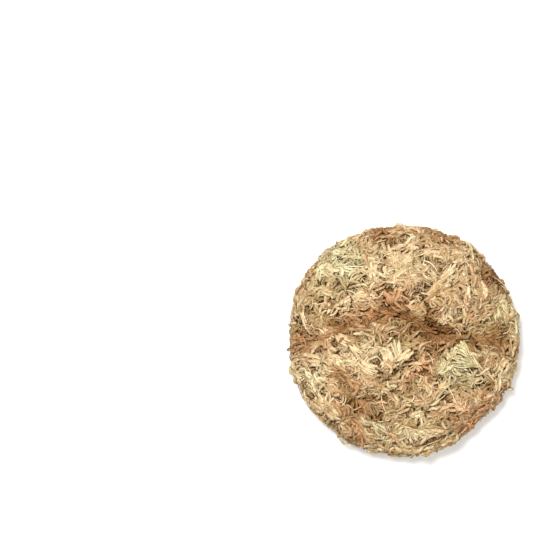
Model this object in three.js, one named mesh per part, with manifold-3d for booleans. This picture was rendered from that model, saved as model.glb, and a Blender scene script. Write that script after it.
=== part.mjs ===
// A clump of dried long-fibred sphagnum moss: a low round cushion of moss plants pressed together.
// Millimetres, +Z up. The origin is on the surface that the clump rests on, under its middle.
//
// A moss plant is a thin stem with its branches in bunches along it and a dense head at its tip.
// Plants of one colour that hang together make a tuft, and every tuft is one solid: a body of
// matted moss with the branches of its plants fused to it and standing out of it. The tufts fill
// the cushion side by side, each in a convex cell of its own, with a narrow gap between them.

import * as THREE from "three";
import { mergeVertices } from "three/addons/utils/BufferGeometryUtils.js";
import Module from "manifold-3d";

const wasm = await Module();
wasm.setup();

const SEED = 4;
const HAIR = 0.013;
const HAIRS = 8; // tries to fuse a tuft, each with its branches a hair further
const THINNEST = 0.003; // the thinnest triangle that a tuft may have without another try
const DEGREE = Math.PI / 180;

// The cushion, as the surface that the branches lie on
const OUTLINE_RADIUS = 79;
const CUSHION_HEIGHT = 43;
const WAIST_HEIGHT = 14; // where the cushion is widest
const TUCK_HEIGHT = 23; // how far below the waist its side would close, were it not on a surface
const PLAN_POWER = 3.3; // how flat the top is, seen from the side
const SIDE_POWER = 2.2; // how full the shoulder is
const SOLE_HEIGHT = 2.6; // the matted underside, which the lowest branches hold off the surface
const FOOT_RADIUS = 15; // the flat spot in the middle of the sole that carries the clump

// The moss
const MAT_DEPTH = 2.6; // the matted body of a tuft ends this far under the cushion's surface
const TUFT_GAP = 0.5; // between neighbouring tufts
const MAT_ROUGHNESS = 1.1; // how far the mat's knots stand out
const MAT_GRID = { around: 30, down: 17 };
const BRANCH_LENGTH = [17, 27];
const BRANCH_GIRTH = [2.8, 3.6]; // the thickest radius of a branch
const BRANCH_SIDES = 3;
const BRANCH_FILL = 0.85; // of a branch's radius, kept clear of other branches
const BRANCH_BEND = 75 * DEGREE; // the most that a branch turns from its root to its tip
const BRANCH_LIFT = [-0.2, 1.4]; // of its middle, off the cushion's surface
const BRANCH_TRIES = 40; // ways to lie that are tried before a branch is given up
const TRY_TURN = 3 * DEGREE; // how much further a branch may stray with every try
const TRY_SHRINK = 0.4; // how much smaller it is by the last try
const LEAST_SPAN = 0.55; // from where it leaves the mat to its tip, as a share of its length
const ROOT_DEPTH = 2; // how far a branch's root is sunk into the mat
const FAN_ANGLE = 26 * DEGREE; // between the branches of one bunch
const FAN_PITCH = 4.6; // between their roots
const LAY_SCATTER = 30 * DEGREE; // how far branches stray from the lay on the top and the sole
const SIDE_SCATTER = 80 * DEGREE; // and on the sides
const TOP_BUNCHES = 150;
const SIDE_ROWS = [
  { height: 28, bunches: 26 },
  { height: 19, bunches: 26 },
  { height: 10, bunches: 26 },
  { height: 4, bunches: 20 },
];
const SOLE_BUNCHES = 34;
const SOLE_RADIUS = 66;
const BARE_SOLE_RADIUS = 19; // no branch is rooted nearer to the middle of the sole
const HEAD_BRANCHES = 6;
const HEAD_BRANCH_LENGTH = 9;
const HEAD_RING = 3.4; // from a head's bud to the roots round it
const STEM_LENGTH = 26;

// The rings of a plant's parts: how far along each is, as a share of the part's length, how high
// its middle lies over the cushion's surface, and its radius
const SUNK_END = { height: -MAT_DEPTH - ROOT_DEPTH, radius: 0 };
const BUD = [
  { share: 0, ...SUNK_END },
  { share: 0.5, height: 1.2, radius: 1.8 },
  { share: 1, height: 4.2, radius: 0 },
];
const HEAD_BRANCH = [
  { share: 0, ...SUNK_END },
  { share: 0.1, height: 1, radius: 1.4 },
  { share: 0.6, height: 2.2, radius: 2 },
  { share: 1, height: 1, radius: 0 },
];
const STEM = [
  { share: 0, height: -MAT_DEPTH, radius: 0 },
  { share: 0.1, height: 1.4, radius: 1.2 },
  { share: 0.6, height: 1.4, radius: 1.2 },
  { share: 1, ...SUNK_END },
];
const branchOf = (girth, lift) => [
  { share: 0, ...SUNK_END },
  { share: 0.14, height: -0.8, radius: 0.85 * girth },
  { share: 0.5, height: lift, radius: girth },
  { share: 0.8, height: lift, radius: 0.75 * girth },
  { share: 1, height: lift - 1, radius: 0 },
];

// Seeded random numbers from 0 to 1 (mulberry32).
function randomNumbers(seed) {
  let state = seed >>> 0;
  return () => {
    state = (state + 0x6d2b79f5) >>> 0;
    let t = state;
    t = Math.imul(t ^ (t >>> 15), t | 1);
    t ^= t + Math.imul(t ^ (t >>> 7), t | 61);
    return ((t ^ (t >>> 14)) >>> 0) / 4294967296;
  };
}

const random = randomNumbers(SEED);
const between = (low, high) => low + (high - low) * random();
const bump = (distance, width) => Math.exp(-((distance / width) ** 2));

// ---- The cushion's form -----------------------------------------------------------------------

const HEART = new THREE.Vector3(0, 0, WAIST_HEIGHT);

// How far the outline lies from the middle, in the direction of an angle in plan.
function outlineRadius(angle) {
  const lobes = 0.011 * Math.sin(3 * angle + 1) + 0.009 * Math.sin(5 * angle + 2.4);
  return OUTLINE_RADIUS * (1 + lobes + 0.006 * Math.sin(9 * angle));
}

// The fold that crosses the top from side to side and arches up left of the middle.
function foldDepth(x, y) {
  const line = 1 + 19 * bump(x + 13, 28);
  return (6 + 5 * bump(x - 12, 36)) * bump(y - line, 7);
}

// How much the top rises above or falls below a plain dome.
function relief(x, y) {
  const farRidge = 3 * bump(x, 60) * bump(y - 46, 20);
  const nearRidge = 2.6 * bump(x + 4, 62) * bump(y + 11, 11);
  const hollow = 5 * bump(x - 5, 21) * bump(y + 31, 6);
  const lowFold = 3 * bump(x + 2, 50) * bump(y + 53 - 4 * Math.sin(x / 21), 4.5);
  const lumps = 1.2 * Math.sin(x / 7.1 + 0.6) * Math.sin(y / 6.3 + 1.1);
  return farRidge + nearRidge - hollow - lowFold + lumps - foldDepth(x, y);
}

// Under 0 inside the cushion, 0 on its surface and over 0 outside.
function outside(point) {
  const { x, y, z } = point;
  const across = Math.hypot(x, y) / outlineRadius(Math.atan2(y, x));
  const rise = CUSHION_HEIGHT + relief(x, y) - WAIST_HEIGHT;
  const up = (z - WAIST_HEIGHT) / (z > WAIST_HEIGHT ? rise : TUCK_HEIGHT);
  const dome = across ** PLAN_POWER + Math.abs(up) ** SIDE_POWER - 1;
  return Math.max(dome, (SOLE_HEIGHT - z) / WAIST_HEIGHT);
}

// The point of the surface on the ray from the heart through a point, and the normal there.
function surfaceAt(point) {
  const direction = point.clone().sub(HEART).normalize();
  const at = (distance) => HEART.clone().addScaledVector(direction, distance);
  let inner = 0;
  let outer = 2 * OUTLINE_RADIUS;
  for (let step = 0; step < 26; step++) {
    const middle = (inner + outer) / 2;
    if (outside(at(middle)) < 0) inner = middle;
    else outer = middle;
  }
  const place = at(inner);
  const reach = 0.6;
  const slope = (x, y, z) =>
    outside(place.clone().add(new THREE.Vector3(x, y, z))) -
    outside(place.clone().sub(new THREE.Vector3(x, y, z)));
  const normal = new THREE.Vector3(slope(reach, 0, 0), slope(0, reach, 0), slope(0, 0, reach));
  return { place, normal: normal.normalize() };
}

// The lay of the moss: the direction in which plants lie at a place, as an angle in plan.
const layAngle = (x, y) => 40 * DEGREE * Math.sin((0.9 * x + 0.6 * y) / 38) - 5 * DEGREE;

// ---- The tufts and their cells ----------------------------------------------------------------

const MOSSES = {
  straw: new THREE.MeshStandardMaterial({ color: 0xcdb482, roughness: 0.92, metalness: 0 }),
  green: new THREE.MeshStandardMaterial({ color: 0xbdb685, roughness: 0.92, metalness: 0 }),
  rust: new THREE.MeshStandardMaterial({ color: 0xa06d45, roughness: 0.95, metalness: 0 }),
};

// Tufts of the top: place in plan, how far each reaches, and whether a head shows on it.
const TOP_TUFTS = [
  { moss: "green", x: -45, y: 47, reach: 19, head: true },
  { moss: "straw", x: -11, y: 56, reach: 18, head: false },
  { moss: "straw", x: 23, y: 52, reach: 17, head: true },
  { moss: "straw", x: 52, y: 33, reach: 16, head: false },
  { moss: "straw", x: -62, y: 14, reach: 15, head: false },
  { moss: "straw", x: -38, y: 20, reach: 12, head: false },
  { moss: "rust", x: -12, y: 29, reach: 11, head: false },
  { moss: "straw", x: 17, y: 26, reach: 14, head: true },
  { moss: "straw", x: 41, y: 12, reach: 11, head: false },
  { moss: "green", x: 63, y: 10, reach: 11, head: false },
  { moss: "rust", x: 8, y: 9, reach: 10, head: false },
  { moss: "rust", x: 31, y: -1, reach: 9, head: false },
  { moss: "rust", x: 63, y: -5, reach: 8, head: false },
  { moss: "rust", x: -71, y: -5, reach: 8, head: false },
  { moss: "straw", x: -49, y: -7, reach: 14, head: false },
  { moss: "straw", x: -22, y: 3, reach: 13, head: false },
  { moss: "straw", x: -2, y: -11, reach: 12, head: true },
  { moss: "green", x: 36, y: -19, reach: 13, head: true },
  { moss: "straw", x: 61, y: -24, reach: 13, head: false },
  { moss: "rust", x: -44, y: -27, reach: 8, head: false },
  { moss: "straw", x: -23, y: -25, reach: 12, head: true },
  { moss: "rust", x: 12, y: -26, reach: 8, head: false },
  { moss: "straw", x: -60, y: -38, reach: 13, head: false },
  { moss: "straw", x: 4, y: -44, reach: 13, head: true },
  { moss: "rust", x: -33, y: -49, reach: 10, head: false },
  { moss: "rust", x: 43, y: -50, reach: 11, head: false },
  { moss: "straw", x: 20, y: -67, reach: 13, head: false },
  { moss: "straw", x: -12, y: -69, reach: 13, head: false },
];
const SIDE_TUFTS = { count: 8, first: 12 * DEGREE, radius: 64, height: 8, reach: 15 };
const SOLE_TUFTS = [
  { x: 0, y: 0 },
  { x: 35, y: 17 },
  { x: -30, y: 27 },
  { x: 3, y: -38 },
];
const SOLE_TUFT = { height: 7, reach: 17 };

function tuft(moss, seat, reach, head) {
  return { moss, seat, reach, head, parts: [], balls: [] };
}

function allTufts() {
  const tufts = TOP_TUFTS.map(({ moss, x, y, reach, head }) => {
    const across = Math.hypot(x, y) / outlineRadius(Math.atan2(y, x));
    const dome = (1 - Math.min(across, 0.98) ** PLAN_POWER) ** (1 / SIDE_POWER);
    const height = WAIST_HEIGHT + (CUSHION_HEIGHT + relief(x, y) - WAIST_HEIGHT) * dome;
    const crown = surfaceAt(new THREE.Vector3(x, y, height));
    return tuft(moss, crown.place.addScaledVector(crown.normal, -0.7 * reach), reach, head);
  });
  for (let i = 0; i < SIDE_TUFTS.count; i++) {
    const { first, count, radius, height, reach } = SIDE_TUFTS;
    const angle = first + (i * 2 * Math.PI) / count;
    const seat = new THREE.Vector3(radius * Math.cos(angle), radius * Math.sin(angle), height);
    tufts.push(tuft("straw", seat, reach, i % 2 === 0));
  }
  for (const { x, y } of SOLE_TUFTS) {
    const seat = new THREE.Vector3(x, y, SOLE_TUFT.height);
    tufts.push(tuft("straw", seat, SOLE_TUFT.reach, false));
  }
  return tufts;
}

const tufts = allTufts();

// The flat walls of a tuft's cell: { normal, offset }, with the cell where normal . p < offset.
// A wall stands square to the line between two seats, nearer the one with the smaller reach.
function cellWalls(own) {
  return tufts
    .filter((other) => other !== own)
    .map((other) => {
      const normal = other.seat.clone().sub(own.seat);
      const distance = normal.length();
      normal.divideScalar(distance);
      const share = (distance ** 2 + own.reach ** 2 - other.reach ** 2) / (2 * distance);
      return { normal, offset: normal.dot(own.seat) + share - TUFT_GAP / 2 };
    });
}

for (const each of tufts) each.walls = cellWalls(each);

// The tuft in whose cell a point lies.
function tuftAt(point) {
  const power = (each) => point.distanceToSquared(each.seat) - each.reach ** 2;
  return tufts.reduce((best, each) => (power(each) < power(best) ? each : best));
}

// Moves a point so that a ball round it lies in the tuft's cell and above the surface below.
function bendClear(own, point, radius) {
  for (let pass = 0; pass < 6; pass++) {
    for (const { normal, offset } of own.walls) {
      const over = normal.dot(point) + radius - offset;
      if (over > 0) point.addScaledVector(normal, -over);
    }
    point.z = Math.max(point.z, radius);
  }
  return point;
}

// ---- Solids -----------------------------------------------------------------------------------

// A closed three.js geometry as a manifold-3d solid.
function solidOf(geometry) {
  geometry.deleteAttribute("normal");
  geometry.deleteAttribute("uv");
  const merged = mergeVertices(geometry, 1e-4);
  const corners = merged.index.array;
  const triangles = [];
  for (let i = 0; i < corners.length; i += 3) {
    const [a, b, c] = [corners[i], corners[i + 1], corners[i + 2]];
    if (a !== b && b !== c && c !== a) triangles.push(a, b, c);
  }
  return new wasm.Manifold(
    new wasm.Mesh({
      numProp: 3,
      vertProperties: merged.attributes.position.array,
      triVerts: new Uint32Array(triangles),
    }),
  );
}

// A manifold-3d solid as a three.js geometry, moved so that its seat is the origin.
function geometryOf(solid, seat) {
  const mesh = solid.getMesh();
  const geometry = new THREE.BufferGeometry();
  geometry.setAttribute("position", new THREE.BufferAttribute(mesh.vertProperties, 3));
  geometry.setIndex(new THREE.BufferAttribute(mesh.triVerts, 1));
  geometry.translate(-seat.x, -seat.y, -seat.z);
  return geometry;
}

// How far the mat stands out at a point, between its plants.
function knots({ x, y, z }) {
  return MAT_ROUGHNESS * Math.sin(1.3 * x + z) * Math.sin(1.1 * y + 0.7 * z);
}

// The matted inside of the whole cushion.
function matSolid() {
  const ball = new THREE.SphereGeometry(1, MAT_GRID.around, MAT_GRID.down);
  ball.rotateX(90 * DEGREE);
  const position = ball.attributes.position;
  const vertex = new THREE.Vector3();
  for (let i = 0; i < position.count; i++) {
    vertex.fromBufferAttribute(position, i);
    vertex.z *= 0.55 * Math.abs(vertex.z) ** -0.2; // spreads the rings over the flat top
    const { place, normal } = surfaceAt(vertex.add(HEART));
    place.addScaledVector(normal, knots(place) - MAT_DEPTH);
    if (normal.z < -0.99) place.z = SOLE_HEIGHT - 1;
    position.setXYZ(i, place.x, place.y, place.z);
  }
  return solidOf(ball).trimByPlane([0, 0, 1], SOLE_HEIGHT);
}

const MAT = matSolid();

// The pressed flat spot on which the clump rests, a low cone down from the mat.
function foot() {
  const height = 2 * SOLE_HEIGHT;
  const cone = new THREE.CylinderGeometry(FOOT_RADIUS + height, FOOT_RADIUS, height, 14);
  cone.rotateX(90 * DEGREE);
  cone.translate(0, 0, height / 2);
  return solidOf(cone);
}

// A branch: a spindle with pointed ends, bent so that ring i lies at stations[i].
// A station has its place, the direction away from the mat, and the radius there.
function spindle(stations) {
  const profile = stations.map(({ radius }, i) => new THREE.Vector2(radius, i));
  const geometry = new THREE.LatheGeometry(profile, BRANCH_SIDES);
  const position = geometry.attributes.position;
  for (let i = 0; i < position.count; i++) {
    const ring = i % stations.length;
    const { place, away } = stations[ring];
    const before = stations[Math.max(ring - 1, 0)].place;
    const after = stations[Math.min(ring + 1, stations.length - 1)].place;
    const along = after.clone().sub(before).normalize();
    const right = along.clone().cross(away).normalize();
    const up = right.clone().cross(along);
    const offset = right.multiplyScalar(position.getX(i)).addScaledVector(up, position.getZ(i));
    position.setXYZ(i, place.x + offset.x, place.y + offset.y, place.z + offset.z);
  }
  return solidOf(geometry);
}

// The stations of a branch: a walk over the cushion's surface from a place, which turns by bend
// over the whole length, with a ring of the given radius at each share of that length.
function stationsOf(own, start, heading, { length, bend, rings }) {
  let { place, normal } = start;
  let travelled = 0;
  const direction = heading.clone();
  return rings.map(({ share, height, radius }) => {
    const step = share * length - travelled;
    travelled += step;
    direction.applyAxisAngle(normal, (bend * step) / length);
    const next = surfaceAt(place.clone().addScaledVector(direction, step));
    direction.addScaledVector(next.normal, -direction.dot(next.normal)).normalize();
    ({ place, normal } = next);
    const middle = place.clone().addScaledVector(normal, height);
    return { place: bendClear(own, middle, Math.max(radius, TUFT_GAP)), away: normal, radius };
  });
}

// Balls that fill a branch from where it leaves the mat to its tip.
function ballsOf(stations) {
  const balls = [];
  for (let i = 1; i < stations.length; i++) {
    const [from, to] = [stations[i - 1], stations[i]];
    for (const share of i === 1 ? [0.75] : [0.2, 0.6, 1]) {
      balls.push({
        place: from.place.clone().lerp(to.place, share),
        radius: BRANCH_FILL * (from.radius + (to.radius - from.radius) * share),
      });
    }
  }
  return balls;
}

// True if a branch would run into one that its tuft already has.
function crosses(own, balls) {
  return balls.some((ball) =>
    own.balls.some((other) => {
      const room = ball.radius + other.radius;
      return ball.place.distanceToSquared(other.place) < room * room;
    }),
  );
}

// Adds a branch to a tuft.
function lay(own, stations, balls) {
  own.parts.push(spindle(stations));
  own.balls.push(...balls);
}

// A direction on the surface that strays at random from the lay of the moss.
function headingAt({ place, normal }) {
  const scatter = THREE.MathUtils.lerp(SIDE_SCATTER, LAY_SCATTER, Math.abs(normal.z));
  const angle = layAngle(place.x, place.y);
  const heading = new THREE.Vector3(Math.cos(angle), Math.sin(angle), 0);
  heading.addScaledVector(normal, -heading.dot(normal));
  if (heading.length() < 0.2) heading.set(0, 0, 1);
  return heading.normalize().applyAxisAngle(normal, between(-scatter, scatter));
}

// The surface a little way from a start, sideways of a heading.
function beside(start, heading, distance) {
  const sideways = start.normal.clone().cross(heading);
  return surfaceAt(start.place.clone().addScaledVector(sideways, distance));
}

// One branch from a start: the first of several ways to lie that crosses nothing.
function addBranch(start, heading) {
  const own = tuftAt(start.place);
  for (let attempt = 0; attempt < BRANCH_TRIES; attempt++) {
    const size = 1 - (TRY_SHRINK * attempt) / BRANCH_TRIES;
    const shape = {
      length: between(...BRANCH_LENGTH) * size,
      bend: between(-BRANCH_BEND, BRANCH_BEND),
      rings: branchOf(between(...BRANCH_GIRTH) * size, between(...BRANCH_LIFT)),
    };
    const turn = between(-1, 1) * (LAY_SCATTER + attempt * TRY_TURN);
    const direction = heading.clone().applyAxisAngle(start.normal, turn);
    const stations = stationsOf(own, start, direction, shape);
    const balls = ballsOf(stations);
    const [root, collar] = stations;
    const rooted = collar.place.distanceTo(root.place) > ROOT_DEPTH;
    const spread = collar.place.distanceTo(stations.at(-1).place) > LEAST_SPAN * shape.length;
    if (rooted && spread && !crosses(own, balls)) {
      lay(own, stations, balls);
      return;
    }
  }
}

// A bunch of three branches side by side on a stem, spread like a fan.
function addBunch(start) {
  const heading = headingAt(start);
  if (random() < 0.5) heading.negate();
  for (const side of [0, -1, 1]) {
    const root = side === 0 ? start : beside(start, heading, side * FAN_PITCH);
    addBranch(root, heading.clone().applyAxisAngle(start.normal, side * FAN_ANGLE));
  }
}

// A head with the end of its stem: short branches in a ring round a bud, and a bare stem.
function addHead(own) {
  const start = surfaceAt(own.seat);
  const heading = headingAt(start);
  const grow = (root, direction, length, rings) => {
    const stations = stationsOf(own, root, direction, { length, bend: 0, rings });
    lay(own, stations, ballsOf(stations));
  };
  grow(start, heading, 0.5, BUD);
  for (let i = 0; i < HEAD_BRANCHES; i++) {
    const around = ((i + 0.5) * 2 * Math.PI) / HEAD_BRANCHES;
    const direction = heading.clone().applyAxisAngle(start.normal, around);
    const root = surfaceAt(start.place.clone().addScaledVector(direction, HEAD_RING));
    grow(root, direction, HEAD_BRANCH_LENGTH, HEAD_BRANCH);
  }
  const root = surfaceAt(start.place.clone().addScaledVector(heading, 1.4 * HEAD_RING));
  grow(root, heading, STEM_LENGTH, STEM);
}

// ---- Growing the moss -------------------------------------------------------------------------

const GOLDEN_ANGLE = Math.PI * (3 - Math.sqrt(5));

// Places spread evenly over a disc.
function sunflower(count, radius) {
  return Array.from({ length: count }, (_, i) => {
    const distance = radius * Math.sqrt((i + 0.5) / count);
    return [distance * Math.cos(i * GOLDEN_ANGLE), distance * Math.sin(i * GOLDEN_ANGLE)];
  });
}

for (const each of tufts) if (each.head) addHead(each);
for (const [x, y] of sunflower(TOP_BUNCHES, 0.9 * OUTLINE_RADIUS)) {
  const across = Math.hypot(x, y) / OUTLINE_RADIUS;
  const rise = (CUSHION_HEIGHT - WAIST_HEIGHT) * (1 - across ** PLAN_POWER) ** (1 / SIDE_POWER);
  addBunch(surfaceAt(new THREE.Vector3(x, y, WAIST_HEIGHT + rise)));
}
for (const { height, bunches } of SIDE_ROWS) {
  for (let i = 0; i < bunches; i++) {
    const angle = ((i + between(0, 0.6)) * 2 * Math.PI) / bunches;
    const x = OUTLINE_RADIUS * Math.cos(angle);
    const y = OUTLINE_RADIUS * Math.sin(angle);
    addBunch(surfaceAt(new THREE.Vector3(x, y, height)));
  }
}
for (const [x, y] of sunflower(SOLE_BUNCHES, SOLE_RADIUS)) {
  if (Math.hypot(x, y) > BARE_SOLE_RADIUS) addBunch(surfaceAt(new THREE.Vector3(x, y, 0)));
}
tuftAt(new THREE.Vector3()).parts.push(foot());

// ---- The scene graph --------------------------------------------------------------------------

// How many corners of a solid fall together, and how many of its triangles are thin as a hair.
function flaws(solid) {
  const geometry = geometryOf(solid, new THREE.Vector3());
  const { position } = geometry.attributes;
  const corners = geometry.index.array;
  const corner = (i) => new THREE.Vector3().fromBufferAttribute(position, corners[i]);
  let count = position.count - mergeVertices(geometry, 2 * THINNEST).attributes.position.count;
  for (let i = 0; i < corners.length; i += 3) {
    const triangle = new THREE.Triangle(corner(i), corner(i + 1), corner(i + 2));
    const { a, b, c } = triangle;
    const longest = Math.max(a.distanceTo(b), b.distanceTo(c), c.distanceTo(a));
    if ((2 * triangle.getArea()) / longest < THINNEST) count++;
  }
  return count;
}

// The mat with the tuft's branches fused to it, cut at the walls of the tuft's cell. Of what is
// left only the largest body is kept, so there are no loose scraps. The branches are shifted, each
// by a few times a small length.
function fuse(own, shift) {
  const branches = own.parts.map((part, i) => part.translate([shift * (i % 5), shift * (i % 3), 0]));
  const cut = own.walls.reduce(
    (solid, { normal, offset }) =>
      solid.trimByPlane([-normal.x, -normal.y, -normal.z], -offset),
    wasm.Manifold.union([MAT, ...branches]),
  );
  return cut.decompose().reduce((best, body) => (body.volume() > best.volume() ? body : best));
}

// The tuft's solid, the most flawless of some tries with its branches shifted by a hair.
function tuftSolid(own) {
  let best = fuse(own, 0);
  for (let hair = 1; hair < HAIRS && flaws(best) > 0; hair++) {
    const solid = fuse(own, hair * HAIR);
    if (flaws(solid) < flaws(best)) best = solid;
  }
  return best;
}

const clump = new THREE.Group();
clump.name = "sphagnum_moss_clump";

for (const [moss, material] of Object.entries(MOSSES)) {
  const group = new THREE.Group();
  group.name = `${moss}_moss`;
  tufts
    .filter((each) => each.moss === moss)
    .forEach((each, i) => {
      const mesh = new THREE.Mesh(geometryOf(tuftSolid(each), each.seat), material);
      mesh.name = `${moss}_tuft_${String(i + 1).padStart(2, "0")}`;
      mesh.position.copy(each.seat);
      group.add(mesh);
    });
  clump.add(group);
}

export default clump;
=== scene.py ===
"""A clump of dried long-fibred sphagnum moss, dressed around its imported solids.

Every tuft of the frame is replaced by one finer piece: a matted body with its plants lying over
it. A plant is a thin stem, covered by bunches of worm-like branches that lie along it like the
strands of a lock of hair, and some plants show the dense head at their tip. The plants lie over
the same cushion form as the solids. The form is worked out in millimetres, and the finished
meshes are in metres.
"""

import logging
import math
from collections.abc import Callable
from dataclasses import dataclass, field
from enum import Enum

import bmesh
import bpy
import numpy as np
from mathutils import Matrix, Vector
from mathutils.bvhtree import BVHTree


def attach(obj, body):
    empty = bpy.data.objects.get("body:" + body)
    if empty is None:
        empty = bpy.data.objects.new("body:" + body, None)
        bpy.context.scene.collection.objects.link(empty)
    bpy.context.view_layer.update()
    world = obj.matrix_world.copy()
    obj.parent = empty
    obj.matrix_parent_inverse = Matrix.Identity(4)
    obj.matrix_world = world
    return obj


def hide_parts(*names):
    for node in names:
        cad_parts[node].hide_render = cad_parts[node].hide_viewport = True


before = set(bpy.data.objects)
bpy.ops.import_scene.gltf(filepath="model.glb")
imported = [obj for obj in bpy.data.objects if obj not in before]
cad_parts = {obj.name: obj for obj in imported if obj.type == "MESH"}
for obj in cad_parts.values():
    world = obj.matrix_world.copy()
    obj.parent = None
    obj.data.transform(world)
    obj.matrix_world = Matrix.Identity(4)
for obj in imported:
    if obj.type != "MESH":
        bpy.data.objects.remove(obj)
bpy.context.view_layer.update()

LOG = logging.getLogger("moss")
MM = 0.001
Array = np.ndarray
Colour = tuple[float, float, float, float]
Span = tuple[float, float]


def bump(distance: Array, width: float) -> Array:
    """A smooth hump: 1 where the distance is 0, and near 0 past twice the width."""
    return np.exp(-((distance / width) ** 2))


def unit(vectors: Array) -> Array:
    """The vectors along the last axis, made one long."""
    length = np.linalg.norm(vectors, axis=-1, keepdims=True)
    return vectors / np.maximum(length, 1e-9)


def flattened(vectors: Array, normals: Array) -> Array:
    """The vectors laid into the planes that the unit normals give, and made one long."""
    return unit(vectors - normals * np.sum(vectors * normals, axis=-1, keepdims=True))


def turned(vectors: Array, axes: Array, angles: Array | float) -> Array:
    """Vectors turned round unit axes.

    Args:
        vectors: (n, 3) vectors, square to their axes.
        axes: (n, 3) unit axes.
        angles: (n,) angles in radians.

    Returns:
        The turned vectors, (n, 3).
    """
    angles = np.asarray(angles)[..., None]
    return vectors * np.cos(angles) + np.cross(axes, vectors) * np.sin(angles)


def rise(values: Array, span: Span) -> Array:
    """0 up to the start of a span, 1 from its end on, and even between them."""
    return np.clip((values - span[0]) / (span[1] - span[0]), 0, 1)


def srgb(red: int, green: int, blue: int) -> Colour:
    """The linear colour that shaders take.

    Args:
        red: the red channel, 0 to 255.
        green: the green channel, 0 to 255.
        blue: the blue channel, 0 to 255.

    Returns:
        Red, green, blue and alpha, each 0 to 1.
    """
    linear = []
    for level in (red, green, blue):
        share = level / 255
        low = share / 12.92
        high = ((share + 0.055) / 1.055) ** 2.4
        linear.append(low if share <= 0.04045 else high)
    return (*linear, 1.0)


def finished(work: bmesh.types.BMesh, name: str) -> bpy.types.Mesh:
    """The mesh that a bmesh holds, which is freed.

    Args:
        work: the bmesh.
        name: the mesh's name.

    Returns:
        The mesh.
    """
    mesh = bpy.data.meshes.new(name)
    work.to_mesh(mesh)
    work.free()
    return mesh


def placed(name: str, data: bpy.types.ID) -> bpy.types.Object:
    """A new object in the scene, at the origin.

    Args:
        name: its name.
        data: its mesh, light or camera.

    Returns:
        The object.
    """
    made = bpy.data.objects.new(name, data)
    bpy.context.scene.collection.objects.link(made)
    return made


class Moss(Enum):
    """The colours of moss, by the word that its tufts' names start with."""

    STRAW = "straw"
    GREEN = "green"
    RUST = "rust"

    @property
    def slot(self) -> str:
        """The record's material slot of this moss."""
        return f"{self.value}_moss"


class Zone(Enum):
    """Where on the clump a branch lies."""

    TOP = "top"
    SIDE = "side"
    SOLE = "sole"


class Fineness(Enum):
    """How finely a branch is modelled: the sides of its section and the number of sections."""

    FINE = (6, 11)
    PLAIN = (5, 8)
    COARSE = (4, 6)
    FIBRE = (3, 5)


# How finely each kind of branch is modelled, zone by zone.
HIGH_FINENESS = {Zone.TOP: Fineness.FINE, Zone.SIDE: Fineness.PLAIN, Zone.SOLE: Fineness.PLAIN}
LOW_FINENESS = {Zone.TOP: Fineness.PLAIN, Zone.SIDE: Fineness.PLAIN, Zone.SOLE: Fineness.COARSE}
UNDER_FINENESS = dict.fromkeys(Zone, Fineness.COARSE)
ALL_FINE = dict.fromkeys(Zone, Fineness.FINE)
FIBRE_FINENESS = dict.fromkeys(Zone, Fineness.FIBRE)


@dataclass(frozen=True)
class Patch:
    """A place on the top where the moss has another colour, or is painted lighter or darker.

    Attributes:
        x: where its middle is, in millimetres.
        y: where its middle is, in millimetres.
        reach: how far it reaches, in millimetres.
        rust: how much rustier it is.
        green: how much greener it is.
        light: how much lighter it is, or darker under 0, partly painted light and shade.
    """

    x: float
    y: float
    reach: float
    rust: float = 0.0
    green: float = 0.0
    light: float = 0.0


# Patch lightness is partly the moss's own tone and partly painted light and shade, such as the
# darker patches along the fold and in the hollow.
PATCHES = (
    Patch(-12, 27, 10, rust=0.8, light=0.55),
    Patch(-2, 19, 8, rust=0.3, light=-0.42),
    Patch(28, 2, 8, rust=0.5, light=0.08),
    Patch(60, 1, 8, rust=0.25, light=-0.3),
    Patch(-24, 19, 8, rust=0.6),
    Patch(-46, -24, 7, rust=0.8, light=-0.25),
    Patch(12, -23, 8, rust=1.8, light=0.5),
    Patch(-32, -51, 8, rust=1.9, light=-0.05),
    Patch(-33, -70, 7, rust=2.0, light=-0.08),
    Patch(20, -51, 5, rust=0.5),
    Patch(45, -53, 9, rust=1.2, light=0.32),
    Patch(57, -47, 7, rust=0.5),
    Patch(-16, 76, 7, rust=1.9, light=-0.35),
    Patch(-48, 10, 5, rust=0.6, light=-0.3),
    Patch(18, 71, 6, rust=0.6, light=-0.2),
    Patch(33, 71, 7, rust=1.2, light=-0.25),
    Patch(64, 44, 9, rust=1.3, light=-0.5),
    Patch(51, 19, 8, rust=1.0, light=0.12),
    Patch(-74, -4, 9, rust=0.5, light=-0.12),
    Patch(-44, 53, 11, green=0.8, light=0.28),
    Patch(-26, 46, 10, green=0.15, light=0.1),
    Patch(41, -17, 12, green=0.5, light=0.2),
    Patch(-4, -2, 5, green=0.5, light=-0.5),
    Patch(50, 10, 9, green=0.3, light=-0.12),
    Patch(8, -55, 12, green=0.3, light=-0.08),
    Patch(-60, 22, 11, green=0.15, light=-0.25),
    Patch(-26, -8, 9, green=0.5, light=0.04),
    Patch(-65, -22, 9, green=0.3, light=0.4),
    Patch(-60, 38, 12, rust=0.3),
    Patch(-5, -8, 8, light=0.08),
    Patch(-48, -10, 14, light=0.05),
    Patch(14, 45, 22, light=0.03),
    Patch(72, -20, 10, light=0.15),
    Patch(7, -33, 7, green=0.5, light=-0.55),
    Patch(-14, -27, 7, light=-0.22),
    Patch(60, -30, 7, green=0.2, light=-0.34),
    Patch(4, -70, 14, green=0.2, light=-0.08),
    Patch(12, 9, 15, rust=0.3, light=-0.2),
    Patch(18, 14, 8, rust=0.45, light=-0.25),
    Patch(19, -8, 5, rust=0.55),
    Patch(-32, -33, 5, rust=0.55, light=0.06),
    Patch(68, -39, 5, rust=0.6),
    Patch(-38, -9, 5, rust=0.4),
    Patch(-19, -1, 5, rust=0.45),
    Patch(28, 36, 5, rust=0.35),
)


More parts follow.
